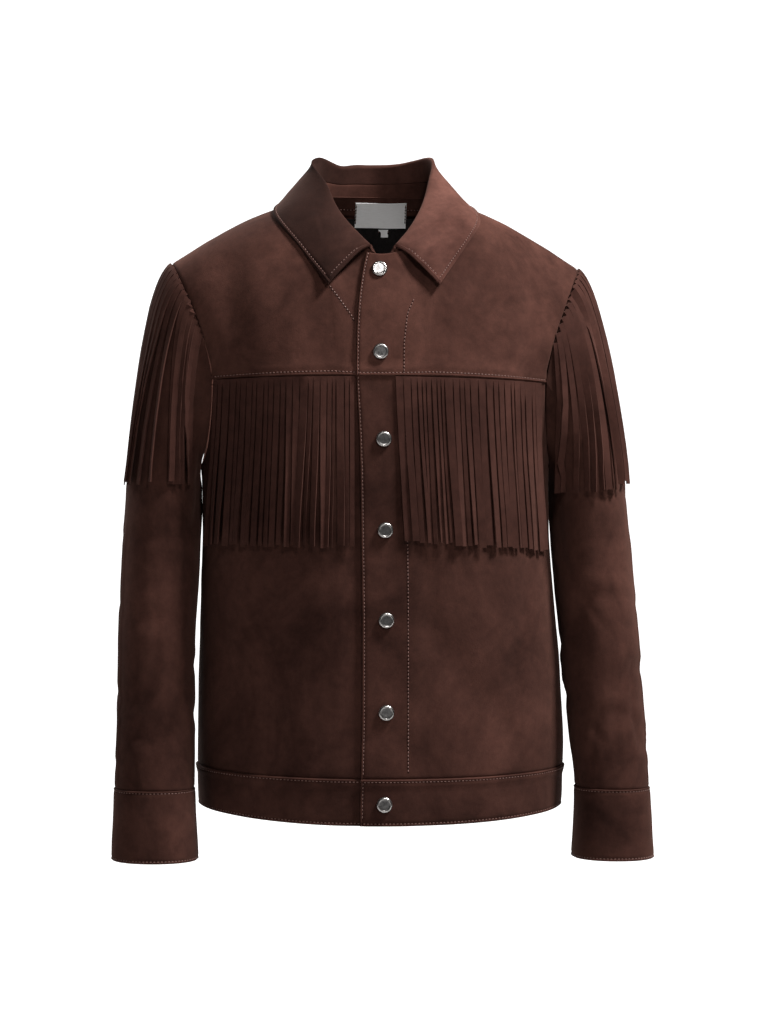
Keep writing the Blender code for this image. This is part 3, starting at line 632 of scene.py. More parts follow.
def lump(point):
    """How far the hide stands out at a place."""
    return sum(row.height * noise.noise(Vector(point) * row.often) for row in LUMP_ROWS)


def lay(panel):
    """Give a panel the hide's unevenness."""
    flat = panel.grid.reshape(-1, 3)
    normals = panel.normals.reshape(-1, 3)
    for i in range(len(flat)):
        flat[i] = flat[i] + normals[i] * lump(flat[i])


def shape_edge(panel, sides, depths, out=-1):
    """Sink a panel's edge where it's sewn or cut, or lift it where it laps over another."""
    for side in sides:
        for (line, normals), depth in zip(edge_lines(panel, side), depths):
            line += out * normals * depth


def grid_faces(rows, columns, closed, first=0):
    """Faces between a grid's rows of points, the first of which has the given number."""
    faces = []
    for r in range(rows - 1):
        low = first + r * columns
        for c in range(columns if closed else columns - 1):
            a = low + c
            b = low + (c + 1) % columns
            faces.append((a, b, b + columns, a + columns))
    return faces


def add_mesh(name, points, faces, material, sharp=40):
    """One closed piece that rides on the garment."""
    mesh = bpy.data.meshes.new(name)
    mesh.from_pydata([tuple(p) for p in points], [], faces)
    shape = bmesh.new()
    shape.from_mesh(mesh)
    bmesh.ops.recalc_face_normals(shape, faces=shape.faces)
    shape.to_mesh(mesh)
    shape.free()
    mesh.shade_smooth()
    mesh.set_sharp_from_angle(angle=math.radians(sharp))
    mesh.materials.append(material)
    thing = bpy.data.objects.new(name, mesh)
    bpy.context.collection.objects.link(thing)
    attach(thing, "root")
    return thing


def cut_size(panel):
    """Width, length and area of the flat cut, measured along the laid cloth."""
    grid = panel.grid
    if panel.closed:
        grid = np.concatenate([grid, grid[:, :1]], axis=1)
    across = np.linalg.norm(np.diff(grid, axis=1), axis=2).sum(axis=1).max()
    down = np.linalg.norm(np.diff(grid, axis=0), axis=2).sum(axis=0).max()
    one = np.cross(grid[:-1, 1:] - grid[:-1, :-1], grid[1:, :-1] - grid[:-1, :-1])
    two = np.cross(grid[1:, :-1] - grid[1:, 1:], grid[:-1, 1:] - grid[1:, 1:])
    area = (np.linalg.norm(one, axis=2).sum() + np.linalg.norm(two, axis=2).sum()) / 2
    return across, down, max(min(area, across * down), 0.3 * across * down)


def add_wall(panel, material):
    """The panel's outer grid joined to an inner one a wall's thickness inside it."""
    rows, columns = panel.grid.shape[:2]
    inner = panel.grid - panel.normals * panel.wall
    points = np.concatenate([panel.grid.reshape(-1, 3), inner.reshape(-1, 3)])
    behind = rows * columns
    faces = []
    for face in grid_faces(rows, columns, panel.closed):
        faces.append(face)
        faces.append(tuple(behind + i for i in reversed(face)))
    top = list(range(columns)) + ([0] if panel.closed else [])
    bottom = [behind - columns + i for i in top]
    rim = [*zip(top, top[1:]), *zip(bottom[1:], bottom)]
    if not panel.closed:
        first = list(range(0, behind, columns))
        last = [i + columns - 1 for i in first]
        rim += [*zip(first[1:], first), *zip(last, last[1:])]
    faces += [(b, a, behind + a, behind + b) for a, b in rim]
    thing = add_mesh(panel.name + "_cloth", points, faces, material)
    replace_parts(thing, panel.name)
    across, down, area = cut_size(panel)
    min(across, down) > SMALLEST_CUT


def body_panels():
    panels = {}
    for side, word in WORDS.items():
        panels["front_" + word] = Panel("front_" + word, lower_half(side, -1), -side)
        name = "yoke_front_" + word
        panels[name] = Panel(name, yoke_half(side, -1), -side)
    panels["back"] = Panel("back", whole(lower_half, 1), 1)
    panels["yoke_back"] = Panel("yoke_back", whole(yoke_half, 1), 1)
    return panels


def waistband_panel():
    """One strip round the hem, from the outer end of the closing to the inner end."""
    rows = []
    for z in WAIST_LINE + (HEM_LINE - WAIST_LINE) * crowd_both(BAND_SPANS, 0.065):
        row = []
        for side, face in ((1, -1), (1, 1), (-1, 1), (-1, -1)):
            start = edge_angle(side, face, z)
            angles = start + (math.pi / 2 - start) * crowd_start(BODY_SPANS, 0.0075)
            outward = side * face < 0
            line = [body_point(side, a, z, face) for a in (angles if outward else angles[::-1])]
            row.extend(line if not row else line[1:])
        rows.append(row)
    return Panel("waistband", np.array(rows), -1)


def sleeve_angles(loop, underarm):
    """Angles round the sleeve for the armhole's points, spread by how far apart they are."""
    steps = np.linalg.norm(np.diff(np.concatenate([loop, loop[:1]]), axis=0), axis=1)
    front = np.cumsum(steps[:underarm])
    back = np.cumsum(steps[underarm:])
    angles = [0.0, *(math.pi * front / front[-1]), *(math.pi + math.pi * back / back[-1])]
    return angles[:-1]


def sleeve_point(side, angle, z):
    """A point of the sleeve's section: 0 is outward, a quarter turn is the front."""
    centre_x, half_width, centre_y, half_depth = sleeve_sizes(z)
    power = 2 / SLEEVE_POWER
    c = math.copysign(abs(math.cos(angle)) ** power, math.cos(angle))
    s = math.copysign(abs(math.sin(angle)) ** power, math.sin(angle))
    half_width += SLEEVE_LEANS[side].wider * math.exp(-(((z - WIDER_AT) / WIDER_RUN) ** 2))
    half_width += SLEEVE_LEANS[side].cuff_wider * soft_step((CUFF_WIDER_FROM - z) / CUFF_WIDER_RUN)
    x = side * (centre_x + half_width * c) + sleeve_lean(side, z)
    return np.array([x, centre_y - half_depth * s, z])


def cap_point(side, start, angle, step):
    """A point between the armhole and the first full section of the sleeve."""
    end = sleeve_point(side, angle, CAP_END)
    over = (1 + math.cos(angle)) / 2
    away = np.array([side * (CAP_OUT[0] + CAP_OUT[1] * over), 0.0, CAP_DOWN])
    first = start + away * CAP_ROUND * np.linalg.norm(end - start)
    inward = -side * CAP_INWARD * over
    second = end + np.array([inward, 0.0, CAP_UPRIGHT * (start[2] - end[2])])
    return sum(w * p for w, p in zip(bezier(step), (start, first, second, end)))


def armhole_loop(panels, side):
    """Armhole points from the shoulder down the front and up the back, and the underarm's."""
    word = WORDS[side]
    column = -1 if side > 0 else 0
    parts = [
        panels["yoke_front_" + word].grid[:, -1],
        panels["front_" + word].grid[1 : ARM_SPANS + 1, -1],
        panels["back"].grid[ARM_SPANS - 1 : 0 : -1, column],
        panels["yoke_back"].grid[:0:-1, column],
    ]
    return np.concatenate(parts), YOKE_ROWS + ARM_SPANS


# Creases of the sleeves: the turn round the sleeve and the height of each, its slant and sizes
SLEEVE_FOLDS = table(
    "side turn z slant length width depth",
    (1, 60, -0.490, 62, 0.050, 0.011, 0.0022),
    (1, 95, -0.535, 70, 0.045, 0.009, 0.0020),
    (1, 40, -0.570, -58, 0.040, 0.008, 0.0016),
    (1, 120, -0.420, 50, 0.060, 0.012, 0.0022),
    (1, 150, -0.330, 28, 0.060, 0.010, 0.0030),
    (1, 250, -0.470, -64, 0.055, 0.012, 0.0026),
    (1, 215, -0.520, 66, 0.050, 0.011, 0.0024),
    (-1, 65, -0.520, -60, 0.050, 0.011, 0.0022),
    (-1, 90, -0.560, -70, 0.045, 0.008, 0.0018),
    (-1, 110, -0.430, -52, 0.060, 0.012, 0.0022),
    (-1, 45, -0.585, 60, 0.035, 0.008, 0.0015),
    (-1, 150, -0.330, -30, 0.060, 0.010, 0.0030),
    (-1, 245, -0.480, 62, 0.055, 0.012, 0.0026),
    (-1, 220, -0.540, -66, 0.050, 0.011, 0.0022),
)
ROUND_SLEEVE = 0.046
SEAM_TURN = 24.0
SEAM_FROM = -0.330
SEAM_HIGH = 0.0010


def sleeve_fold(side, angle, z):
    """How deep the sleeve's creases are at a turn and height."""
    depth = 0.0
    for fold in SLEEVE_FOLDS:
        if fold.side == side:
            away = math.radians(math.degrees(angle) - fold.turn)
            dx = math.atan2(math.sin(away), math.cos(away)) * ROUND_SLEEVE
            across, along = slanted(dx, z - fold.z, fold.slant)
            across += 0.9 * along * along / fold.length
            near = (across / fold.width) ** 2 + (along / fold.length) ** 2
            ridge = math.exp(-((across / fold.width - 1.7) ** 2) - (along / fold.length) ** 2)
            depth += fold.depth * (math.exp(-near) - 0.45 * ridge)
    off = (math.degrees(angle) - SEAM_TURN + 180) % 360 - 180
    gap = math.radians(off) * ROUND_SLEEVE
    ridge = math.exp(-((gap / 0.0026) ** 2))
    groove = math.exp(-(((gap + 0.0046) / 0.0022) ** 2))
    return depth + SEAM_HIGH * soft_step((SEAM_FROM - z) / 0.03) * (groove - ridge)


def sleeve_panel(panels, side):
    loop, underarm = armhole_loop(panels, side)
    angles = sleeve_angles(loop, underarm)
    rows = []
    for step in crowd_start(CAP_SPANS, 0.014):
        rows.append([cap_point(side, p, a, step) for p, a in zip(loop, angles)])
    for z in CAP_END + (CUFF_LINE - CAP_END) * crowd_end(SLEEVE_SPANS, EDGE / 0.31)[1:]:
        rows.append([sleeve_point(side, a, z) for a in angles])
    return Panel("sleeve_" + WORDS[side], np.array(rows), side, closed=True), angles


def crease_sleeve(sleeve, side, angles):
    rows = len(sleeve.grid)
    for r in range(1, rows):
        ends = min(r / 6, (rows - 1 - r) / 5, 1.0)
        for c, angle in enumerate(angles):
            depth = sleeve_fold(side, angle, sleeve.grid[r, c, 2])
            sleeve.grid[r, c] -= sleeve.normals[r, c] * depth * ends


def join_armhole(body, sleeve):
    """Mitre the walls where the shoulder turns over, and open the seam's gap all round."""
    torso = {}
    for panel in body:
        for i, point in enumerate(panel.grid.reshape(-1, 3)):
            torso.setdefault(place_key(point), []).append((panel, i))
    for i, point in enumerate(sleeve.grid[0].copy()):
        shared = torso[place_key(point)]
        outward = shared[0][0].normals.reshape(-1, 3)[shared[0][1]].copy()
        along = unit(sleeve.grid[1, i] - point)
        if along @ outward < 0.15 and sleeve.normals[0, i] @ outward > 0.3:
            both = unit(outward + sleeve.normals[0, i])
            sleeve.normals[0, i] = both
            for panel, j in shared:
                panel.normals.reshape(-1, 3)[j] = both
        sleeve.grid[0, i] = point + (outward + along) * SEAM * 0.5


def cuff_panel(side, angles):
    rows = []
    for share in crowd_both(CUFF_SPANS, EDGE / 0.074):
        z = CUFF_LINE + (CUFF_END - CUFF_LINE) * share
        rows.append([sleeve_point(side, a, z) for a in angles])
    panel = Panel("cuff_" + WORDS[side], np.array(rows), side, closed=True, wall=BAND_WALL)
    panel.grid = panel.grid + panel.normals * CUFF_PROUD
    return panel


class Surface:
    """The outer surfaces of some panels, to find points on them and to keep clear of them."""

    def __init__(self, panels):
        points = []
        faces = []
        for panel in panels:
            faces += grid_faces(*panel.grid.shape[:2], panel.closed, len(points))
            points += [Vector(p) for p in panel.grid.reshape(-1, 3)]
        self.tree = BVHTree.FromPolygons(points, faces)

    def across(self, x, z, face):
        """The point met at x and z from the front or the back, and its outward normal."""
        hit, normal, _, _ = self.tree.ray_cast(Vector((x, face, z)), Vector((0, -face, 0)))
        if normal.y * face < 0:
            normal = -normal
        return np.array(hit), np.array(normal)

    def under(self, point, outward):
        """The place on the surface under a point above or below it, and the outward normal."""
        far = Vector(point + outward * LOOK_REACH)
        hit, normal, _, _ = self.tree.ray_cast(far, Vector(-outward), 2 * LOOK_REACH)
        if hit is None:
            return point, outward
        return np.array(hit), np.array(normal) * math.copysign(1.0, np.array(normal) @ outward)

    def kept_clear(self, point, distance, away):
        """The point, moved along a way out until it is at the given distance above the surface."""
        far = Vector(point + away * CLEAR_REACH)
        hit = self.tree.ray_cast(far, Vector(-away), CLEAR_REACH * 1.5)[0]
        if hit is not None:
            return point + away * max((np.array(hit) - point) @ away + distance, 0.0)
        gap = self.tree.find_nearest(Vector(point))[3]
        return point + away * max(distance - gap, 0.0)


def collar_section(u, side, surface):
    """Points of one collar section: up the stand, over the fold and down to the edge."""
    t, *rest = collar_row(u)
    fold = np.array(rest[:3]) * (side, 1, 1)
    edge = np.array(rest[3:]) * (side, 1, 1)
    for row in UNEVEN_ROWS:
        if row.side == side:
            share = math.exp(-(((u - row.u) / row.width) ** 2))
            fold = fold + np.array([side * row.fold_out, 0.0, row.lift]) * share
            edge = edge + np.array([side * row.edge_out, 0.0, row.edge_lift]) * share
    neck = neck_curve(t) * (side, 1, 1)
    base = neck + UP * STAND_LIFT - unit(neck * (1, 1, 0)) * (WALL + 0.0002)
    out = unit((edge - fold) * (1, 1, 0))
    radius = min(FOLD_RADIUS, 0.3 * np.linalg.norm(fold - base))
    seam = base + (fold - base) * STAND_SHARE
    high = fold - UP * radius
    rising = [base + (seam - base) * s for s in crowd_end(STAND_SPANS, 0.11)]
    rising += [seam + (high - seam) * s for s in crowd_start(STAND_SPANS, 0.08)[1:]]
    over = [
        fold - UP * radius + out * radius * (1 - math.cos(a)) + UP * radius * math.sin(a)
        for a in np.radians(np.linspace(0, 135, 10)[1:])
    ]
    leaf_out = unit(np.cross(edge - fold, np.cross(out, UP)))
    leaf_out = leaf_out if leaf_out[2] > 0 else -leaf_out
    falling = []
    for share in crowd_end(LEAF_SPANS, 0.05)[1:]:
        bulge = LEAF_BULGE * math.sin(math.pi * share) * min(1.0, 2 * u + 0.3)
        point = over[-1] + (edge - over[-1]) * share + leaf_out * bulge
        clear = COLLAR_CLEAR + NECK_CLEAR * (1 - share ** 2)
        falling.append(surface.kept_clear(point, clear, leaf_out))
    return np.array(rising + over + falling)


def smooth_line(line, rounds):
    """Even out a line of points between its two ends."""
    for _ in range(rounds):
        line[1:-1] += 0.5 * ((line[:-2] + line[2:]) / 2 - line[1:-1])


def smooth_inside(grid, rounds):
    """Even out a grid inside its edges."""
    for _ in range(rounds):
        around = grid[:-2, 1:-1] + grid[2:, 1:-1] + grid[1:-1, :-2] + grid[1:-1, 2:]
        grid[1:-1, 1:-1] += 0.5 * (around / 4 - grid[1:-1, 1:-1])


def clear_leaf(grid, surface):
    """Lift a smoothed leaf again where it would touch the yokes."""
    for row in grid[1:-1]:
        for i in range(1, len(row) - 1):
            away = unit(row[i] * (1, 1, 0) + UP * 0.12)
            row[i] = surface.kept_clear(row[i], LEAF_CLEAR, away)


def collar_panels(body):
    """The stand inside the neck, and the leaf that folds over it."""
    surface = Surface([p for p in body if p.name.startswith("yoke")])
    shares = crowd_start(COLLAR_SPANS, 0.011)
    left = [collar_section(u, 1, surface) for u in shares]
    right = [collar_section(u, -1, surface) for u in shares]
    grid = np.array(left + right[-2::-1]).transpose(1, 0, 2)
    leaf_part = grid[2 * STAND_SPANS + 6 :]
    for edge in (leaf_part[:, 0], leaf_part[:, -1], leaf_part[-1]):
        smooth_line(edge, EDGE_ROUNDS)
    for _ in range(2):
        smooth_inside(leaf_part, LEAF_ROUNDS)
        clear_leaf(leaf_part, surface)
    stand = Panel("collar_stand", grid[: STAND_SPANS + 1].copy(), -1)
    leaf = Panel("collar", grid[STAND_SPANS:].copy(), -1)
    share_normals([stand, leaf])
    return stand, leaf


class Thread:
    """Stitches gathered along lines of the cloth, made into one piece."""

    def __init__(self):
        self.points = []
        self.faces = []
        self.hole_points = []
        self.hole_faces = []

    def run(self, line, normals, closed=False):
        """A row of stitches along a line of points, with the outward normal at each."""
        line = np.asarray(line)
        normals = np.asarray(normals)
        if closed:
            line = np.concatenate([line, line[:1]])
            normals = np.concatenate([normals, normals[:1]])
        along = lengths_along(line)

        def at(distance, values):
            return np.array([np.interp(distance, along, values[:, i]) for i in range(3)])

        count = int((along[-1] - STITCH_LONG) / STITCH_PITCH)
        for k in range(count):
            start = (k + 0.25) * STITCH_PITCH
            end = start + STITCH_LONG
            self.stitch(at(start, line), at(end, line), at(start, normals))
            gap = at(end + (STITCH_PITCH - STITCH_LONG) / 2, line)
            self.hole_shade(gap, at(end, normals), at(start, line))

    def stitch(self, a, b, normal):
        """One stitch: a thread that rises between two holes."""
        way = unit(b - a)
        normal = unit(normal)
        sideways = np.cross(way, normal)
        first = len(self.points)
        for share, lift, size in STITCH_RINGS:
            centre = a + (b - a) * share + normal * STITCH_THICK * lift
            for i in range(STITCH_SIDES):
                turn = 2 * math.pi * i / STITCH_SIDES
                ring = sideways * math.cos(turn) + normal * math.sin(turn)
                self.points.append(centre + ring * STITCH_THICK * size)
        self.faces += grid_faces(len(STITCH_RINGS), STITCH_SIDES, True, first)
        for low in (first, first + 3 * STITCH_SIDES):
            self.faces.append(tuple(range(low, low + STITCH_SIDES)))

    def hole_shade(self, centre, normal, behind):
        """A dark dot of painted shade where the needle went in, as a very low double cone."""
        normal = unit(normal)
        way = unit(np.cross(normal, centre - behind))
        across = np.cross(normal, way)
        first = len(self.hole_points)
        for i in range(HOLE_SIDES):
            turn = 2 * math.pi * i / HOLE_SIDES
            ring = way * math.cos(turn) + across * math.sin(turn)
            self.hole_points.append(centre + ring * HOLE_RADIUS)
        self.hole_points += [centre + normal * HOLE_LIFT, centre - normal * HOLE_LIFT]
        for i in range(HOLE_SIDES):
            one = first + i
            two = first + (i + 1) % HOLE_SIDES
            self.hole_faces.append((one, two, first + HOLE_SIDES))
            self.hole_faces.append((two, one, first + HOLE_SIDES + 1))

    def make(self, thread, hole_shade):
        add_mesh("stitches", self.points, self.faces, thread)
        add_mesh("needle_holes", self.hole_points, self.hole_faces, hole_shade)


# Fringe
STRAND_WALL = 0.0013
STRAND_GAP = 0.00008
STRAND_OFF = 0.0006
STRAND_LIFT = 0.0008
STRAND_WAVE = 0.0007
STRIP_TOP = 0.0003
STRIP_DEEP = 0.0014
FRAMES = 18
FRINGE_ROWS = table(
    "name face from_x to_x strands lean spread end drop seed",
    ("fringe_front_right", -1, -0.1735, -0.0305, 24, -0.0035, 0.008, -0.3590, 0.0, 3),
    ("fringe_front_left", -1, 0.0115, 0.1690, 25, 0.0090, -0.001, -0.3530, 0.010, 5),
    ("fringe_back", 1, -0.1730, 0.1730, 52, 0.0, 0.010, -0.3560, 0.0, 8),
)
SLEEVE_FRINGE_TO = -0.140
SLEEVE_STRANDS = 28
# Where the strands' tips lie: a share of the seam from the shoulder, and degrees round the arm
TIP_EVEN = ((0.0, 1.0), (0.0, 122.0))
TIP_CLOSE = ((0.0, 0.55, 1.0), (0.0, 75.0, 112.0))
TIP_PARTED = ((0.0, 0.45, 0.58, 1.0), (0.0, 46.0, 92.0, 128.0))
CAP_AXIS = (0.93, 0.03)
# The left sleeve's front strands hang straight down past its inner side: from which share of
# the seam, how far in at the tip, and how deep beside the sleeve
HANG_FROM = 0.60
HANG_IN = 0.029
HANG_DEPTH = 0.72
# The strands' roots: their share of the length, how much of the seam they fill, the first step
# down the cap, and the turn inward from which their place is looked for from the front or back
ROOT_SHARE = 0.12
ROOT_WIDTH = 0.99
FIRST_STEP = 0.012
LOOK_FROM = 0.35

# How strands turn and part: a share of the fringe from its first strand, and the amounts there
LOOSE_ROWS = table(
    "fringe share turn drift",
    ("fringe_front_right", 0.00, 20, 0.0010),
    ("fringe_front_right", 0.45, 12, 0.0012),
    ("fringe_front_right", 0.58, 74, 0.0046),
    ("fringe_front_right", 0.78, 76, 0.0050),
    ("fringe_front_right", 0.92, 30, 0.0020),
    ("fringe_front_right", 1.00, 10, 0.0006),
    ("fringe_front_left", 0.00, 8, 0.0004),
    ("fringe_front_left", 0.30, 26, 0.0014),
    ("fringe_front_left", 1.00, 18, 0.0010),
    ("fringe_back", 0.00, 26, 0.0014),
    ("fringe_back", 0.35, 44, 0.0022),
    ("fringe_back", 0.60, 18, 0.0010),
    ("fringe_back", 1.00, 34, 0.0018),
)


def fringe(name, strands, material):
    """Strands side by side, joined at their roots by a strip.

    A strand is a list of frames: its place, its outward way and its half width sideways.
    """
    points = []
    for frames in strands:
        for place, outward, half in frames:
            for lift, way in ((1, -1), (1, 1), (0, 1), (0, -1)):
                points.append(place + outward * STRAND_WALL * lift + half * way)
    each = len(strands[0])

    def at(strand, frame, corner):
        return (strand * each + frame) * 4 + corner % 4

    faces = []
    for k in range(len(strands)):
        faces.append([at(k, 0, i) for i in (3, 2, 1, 0)])
        faces.append([at(k, each - 1, i) for i in (0, 1, 2, 3)])
        for j in range(each - 1):
            for i in range(4):
                inside = j == 0 and i in (1, 3)
                outermost = (k == 0 and i == 3) or (k == len(strands) - 1 and i == 1)
                if not inside or outermost:
                    faces.append([at(k, j, i), at(k, j, i + 1), at(k, j + 1, i + 1), at(k, j + 1, i)])
    for k in range(len(strands) - 1):
        right = [at(k, j, i) for j in (0, 1) for i in (1, 2)]
        left = [at(k + 1, j, i) for j in (0, 1) for i in (0, 3)]
        faces.append([right[0], left[0], left[2], right[2]])
        faces.append([left[1], right[1], right[3], left[3]])
        faces.append([right[0], right[1], left[1], left[0]])
        faces.append([right[2], left[2], left[3], right[3]])
    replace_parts(add_mesh(name + "_strands", points, faces, material, 30), name)


def turned(place, outward, sideways, half, turn):
    """A frame turned about the strand's length, lifted so that it stays off the cloth."""
    way = sideways * math.cos(turn) + outward * math.sin(turn)
    face = outward * math.cos(turn) - sideways * math.sin(turn)
    lift = half * abs(math.sin(turn))
    return place + outward * lift, face, way * half


def body_strand(row, k, low, high, surface, chance):
    """Frames of one strand between two shares of the fringe's width."""
    loose = [r for r in LOOSE_ROWS if r.fringe == row.name]
    share = (low + high) / 2
    wide = row.to_x - row.from_x
    turn_most = np.interp(share, [r.share for r in loose], [r.turn for r in loose])
    drift_most = np.interp(share, [r.share for r in loose], [r.drift for r in loose])
    turn = math.radians(turn_most) * chance.choice([-1, 1]) * chance.uniform(0.35, 1.0)
    drift = drift_most * chance.uniform(-1.0, 1.0)
    wave = chance.uniform(-1.0, 1.0) * STRAND_WAVE
    layer = (k % 2) * STRAND_WALL + chance.uniform(0.0, 0.0010)
    opens = 0.012 + max(0.0, share - 0.7) * (0.5 if row.name == "fringe_front_left" else 0.0)
    opens *= chance.uniform(0.6, 1.3)
    slit = chance.uniform(0.0006, 0.0017)
    end = row.end - row.drop * share + chance.uniform(-0.0018, 0.0016)
    x = row.from_x + wide * share
    angle = body_angle(1, x, YOKE_LINE)
    top = YOKE_LINE + rise(YOKE_LINE) * math.cos(angle) ** 2 - STRIP_TOP
    strip = STRIP_DEEP / (top - end)
    frames = []
    for j in range(FRAMES):
        s = 0.0 if j == 0 else strip + (1 - strip) * (j - 1) / (FRAMES - 2)
        free = soft_step((s - opens) / (1 - opens))
        hang = (row.lean + row.spread * (share - 0.5)) * s ** 1.3
        here = x + hang + (drift + wave * math.sin(5 * s)) * free
        place, outward = surface.across(here, top + (end - top) * s, row.face)
        outward = unit(outward * (1, 1, 0))
        sideways = np.cross(UP, outward)
        width = wide * (high - low) - STRAND_GAP - slit * soft_step((s - opens) / 0.04)
        width /= max(abs(sideways[0]), 0.5)
        place = place + outward * (STRAND_OFF + (layer + STRAND_LIFT) * free)
        frames.append(turned(place, outward, sideways, width / 2, turn * free))
    return frames


def body_fringe(row, surface, material):
    """Strands under a yoke seam, hanging over the panel below it."""
    chance = np.random.default_rng(row.seed)
    edges = np.concatenate([[0.0], np.cumsum(chance.uniform(0.6, 1.4, row.strands))])
    edges /= edges[-1]
    pairs = enumerate(zip(edges, edges[1:]))
    strands = [body_strand(row, k, *pair, surface, chance) for k, pair in pairs]
    fringe(row.name, strands if row.face < 0 else strands[::-1], material)


def sleeve_fringe(panels, sleeve, side, material):
    """Strands from the upper armhole seam, lying over the sleeve and cut level."""
    surface = Surface([sleeve])
    chance = np.random.default_rng(20 + side)
    loop, _ = armhole_loop(panels, side)
    front = next(i for i, point in enumerate(loop) if point[2] < SLEEVE_FRINGE_TO)
    back = next(i for i in range(len(loop) - 1, 0, -1) if loop[i][2] < SLEEVE_FRINGE_TO)
    line = np.concatenate([loop[back:], loop[: front + 1]])
    lengths = lengths_along(line)
    marks = (np.arange(SLEEVE_STRANDS) + 0.5) / SLEEVE_STRANDS * lengths[-1]
    pitch = lengths[-1] / SLEEVE_STRANDS
    strands = []
    for k, mark in enumerate(marks):
        start = np.array([np.interp(mark, lengths, line[:, i]) for i in range(3)])
        share = 2 * mark / lengths[-1] - 1
        tips = TIP_EVEN if share < 0 else (TIP_CLOSE if side > 0 else TIP_PARTED)
        turn = math.radians(math.copysign(np.interp(abs(share), *tips), share))
        hang = HANG_IN * max(0.0, share - HANG_FROM) / (1 - HANG_FROM) if side > 0 else 0.0
        strands.append(sleeve_strand(side, start, turn, hang, k, pitch, chance, surface))
    if side < 0:
        strands = strands[::-1]
    fringe("fringe_sleeve_" + WORDS[side], strands, material)


def cap_frame(side, start, turn, step):
    """A place on the cap, the way down along it and the way out of it."""
    place = cap_point(side, start, turn, step)
    down = unit(cap_point(side, start, turn, step + 0.01) - place)
    beside = unit(cap_point(side, start, turn + 0.01, step) - place)
    outward = unit(np.cross(beside, down)) * side
    axis_x = side * sleeve_sizes(CAP_END)[0] * CAP_AXIS[0]
    middle = np.array([axis_x, 0.0, place[2] - CAP_AXIS[1]])
    return place, down, outward if outward @ (place - middle) >= 0 else -outward


def hung(place, look, surface):
    """The place on the sleeve before or behind, or a free one beside the sleeve."""
    found, outward = surface.under(place, look)
    _, _, centre_y, half_depth = sleeve_sizes(min(place[2], CAP_END))
    deepest = centre_y + HANG_DEPTH * half_depth * look[1]
    if found is place or (found[1] - deepest) * look[1] < 0:
        return np.array([place[0], deepest, place[2]]), look
    return found, outward


def sleeve_strand(side, start, turn, hang, k, pitch, chance, surface):
    """Frames of one strand, from the armhole down over the outside of the sleeve."""
    drift = math.radians(chance.uniform(-4.0, 4.0))
    inward = abs(turn) / math.pi
    twist = math.radians(chance.uniform(-58.0, 58.0)) * soft_step(inward / 0.3)
    layer = ((k % 2) * 0.0008 + chance.uniform(0.0, 0.0006)) * min(1.0, 0.3 + 2 * inward)
    flare = 0.0004 + chance.uniform(0.0, 0.0014) * min(1.0, 2 * inward)
    last = chance.uniform(-0.012, 0.006) + (0.954 + 0.105 * inward if side > 0 else 0.982)
    width = chance.uniform(0.0058, 0.0076)
    frames = []
    for j in range(FRAMES):
        s = j / (FRAMES - 1)
        step = FIRST_STEP + (last - FIRST_STEP) * s ** 1.25
        place, down, outward = cap_frame(side, start, turn + drift * s, step)
        place[0] -= side * hang * s
        if inward < LOOK_FROM:
            place, outward = surface.under(place, outward)
        else:
            look = np.array([0.0, math.copysign(1.0, -turn), 0.0])
            place, outward = hung(place, look, surface)
        sideways = unit(np.cross(down, outward))
        outward = np.cross(sideways, down)
        free = soft_step((s - ROOT_SHARE / 2) / (1 - ROOT_SHARE / 2))
        cut = soft_step(s / ROOT_SHARE)
        half = (pitch * ROOT_WIDTH * (1 - cut) + width * cut) / 2
        lifted = place + outward * (0.0004 + (0.0006 + layer) * free + flare * s * s)
        frames.append(turned(lifted, outward, sideways, half, twist * free))
    return frames


SNAP_ROWS = table(
    "radius height dark",
    (0.0072, -0.0006, 0),
    (0.0080, 0.0002, 0),
    (0.00825, 0.0009, 0),
    (0.0081, 0.0015, 0),
    (0.0074, 0.0024, 0),
    (0.0066, 0.0029, 0),
    (0.0061, 0.00285, 0),
    (0.0058, 0.0026, 1),
    (0.0050, 0.0025, 1),
    (0.0030, 0.00258, 1),
    (0.0010, 0.0026, 1),
)
SNAP_SIDES = 56


def add_snaps(surface, rim, centre):
    """Seven low round caps with a bevelled rim and a darker flat centre."""
    for number, z in enumerate(SNAP_HEIGHTS, start=1):
        place, outward = surface.across(stray(z), z, -1)
        angles = np.linspace(0, 2 * math.pi, SNAP_SIDES, endpoint=False)
        turn = Vector((0, 0, 1)).rotation_difference(Vector(outward)).to_matrix().to_4x4()
        seat = Matrix.Translation(Vector(place + outward * SNAP_OFF)) @ turn
        points = [
            seat @ Vector((row.radius * math.cos(a), row.radius * math.sin(a), row.height))
            for row in SNAP_ROWS
            for a in angles
        ]
        faces = [tuple(range(SNAP_SIDES)), tuple(range(len(points) - SNAP_SIDES, len(points)))]
        faces += grid_faces(len(SNAP_ROWS), SNAP_SIDES, True)
        cap = add_mesh("snap_cap_%d" % number, points, faces, rim, 50)
        cap.data.materials.append(centre)
        for face in cap.data.polygons:
            low = min(face.vertices) // SNAP_SIDES
            face.material_index = int(SNAP_ROWS[low].dark)
        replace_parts(cap, "snap_%d" % number)


def inner_copy(name, panel, rows, columns):
    """A piece inside part of a panel, at a small distance from its inner face."""
    grid = panel.grid[rows, columns] - panel.normals[rows, columns] * (panel.wall + LINING_OFF)
    inside = Panel(name, grid, 1, wall=LINING_WALL)
    inside.normals = panel.normals[rows, columns].copy()
    return inside


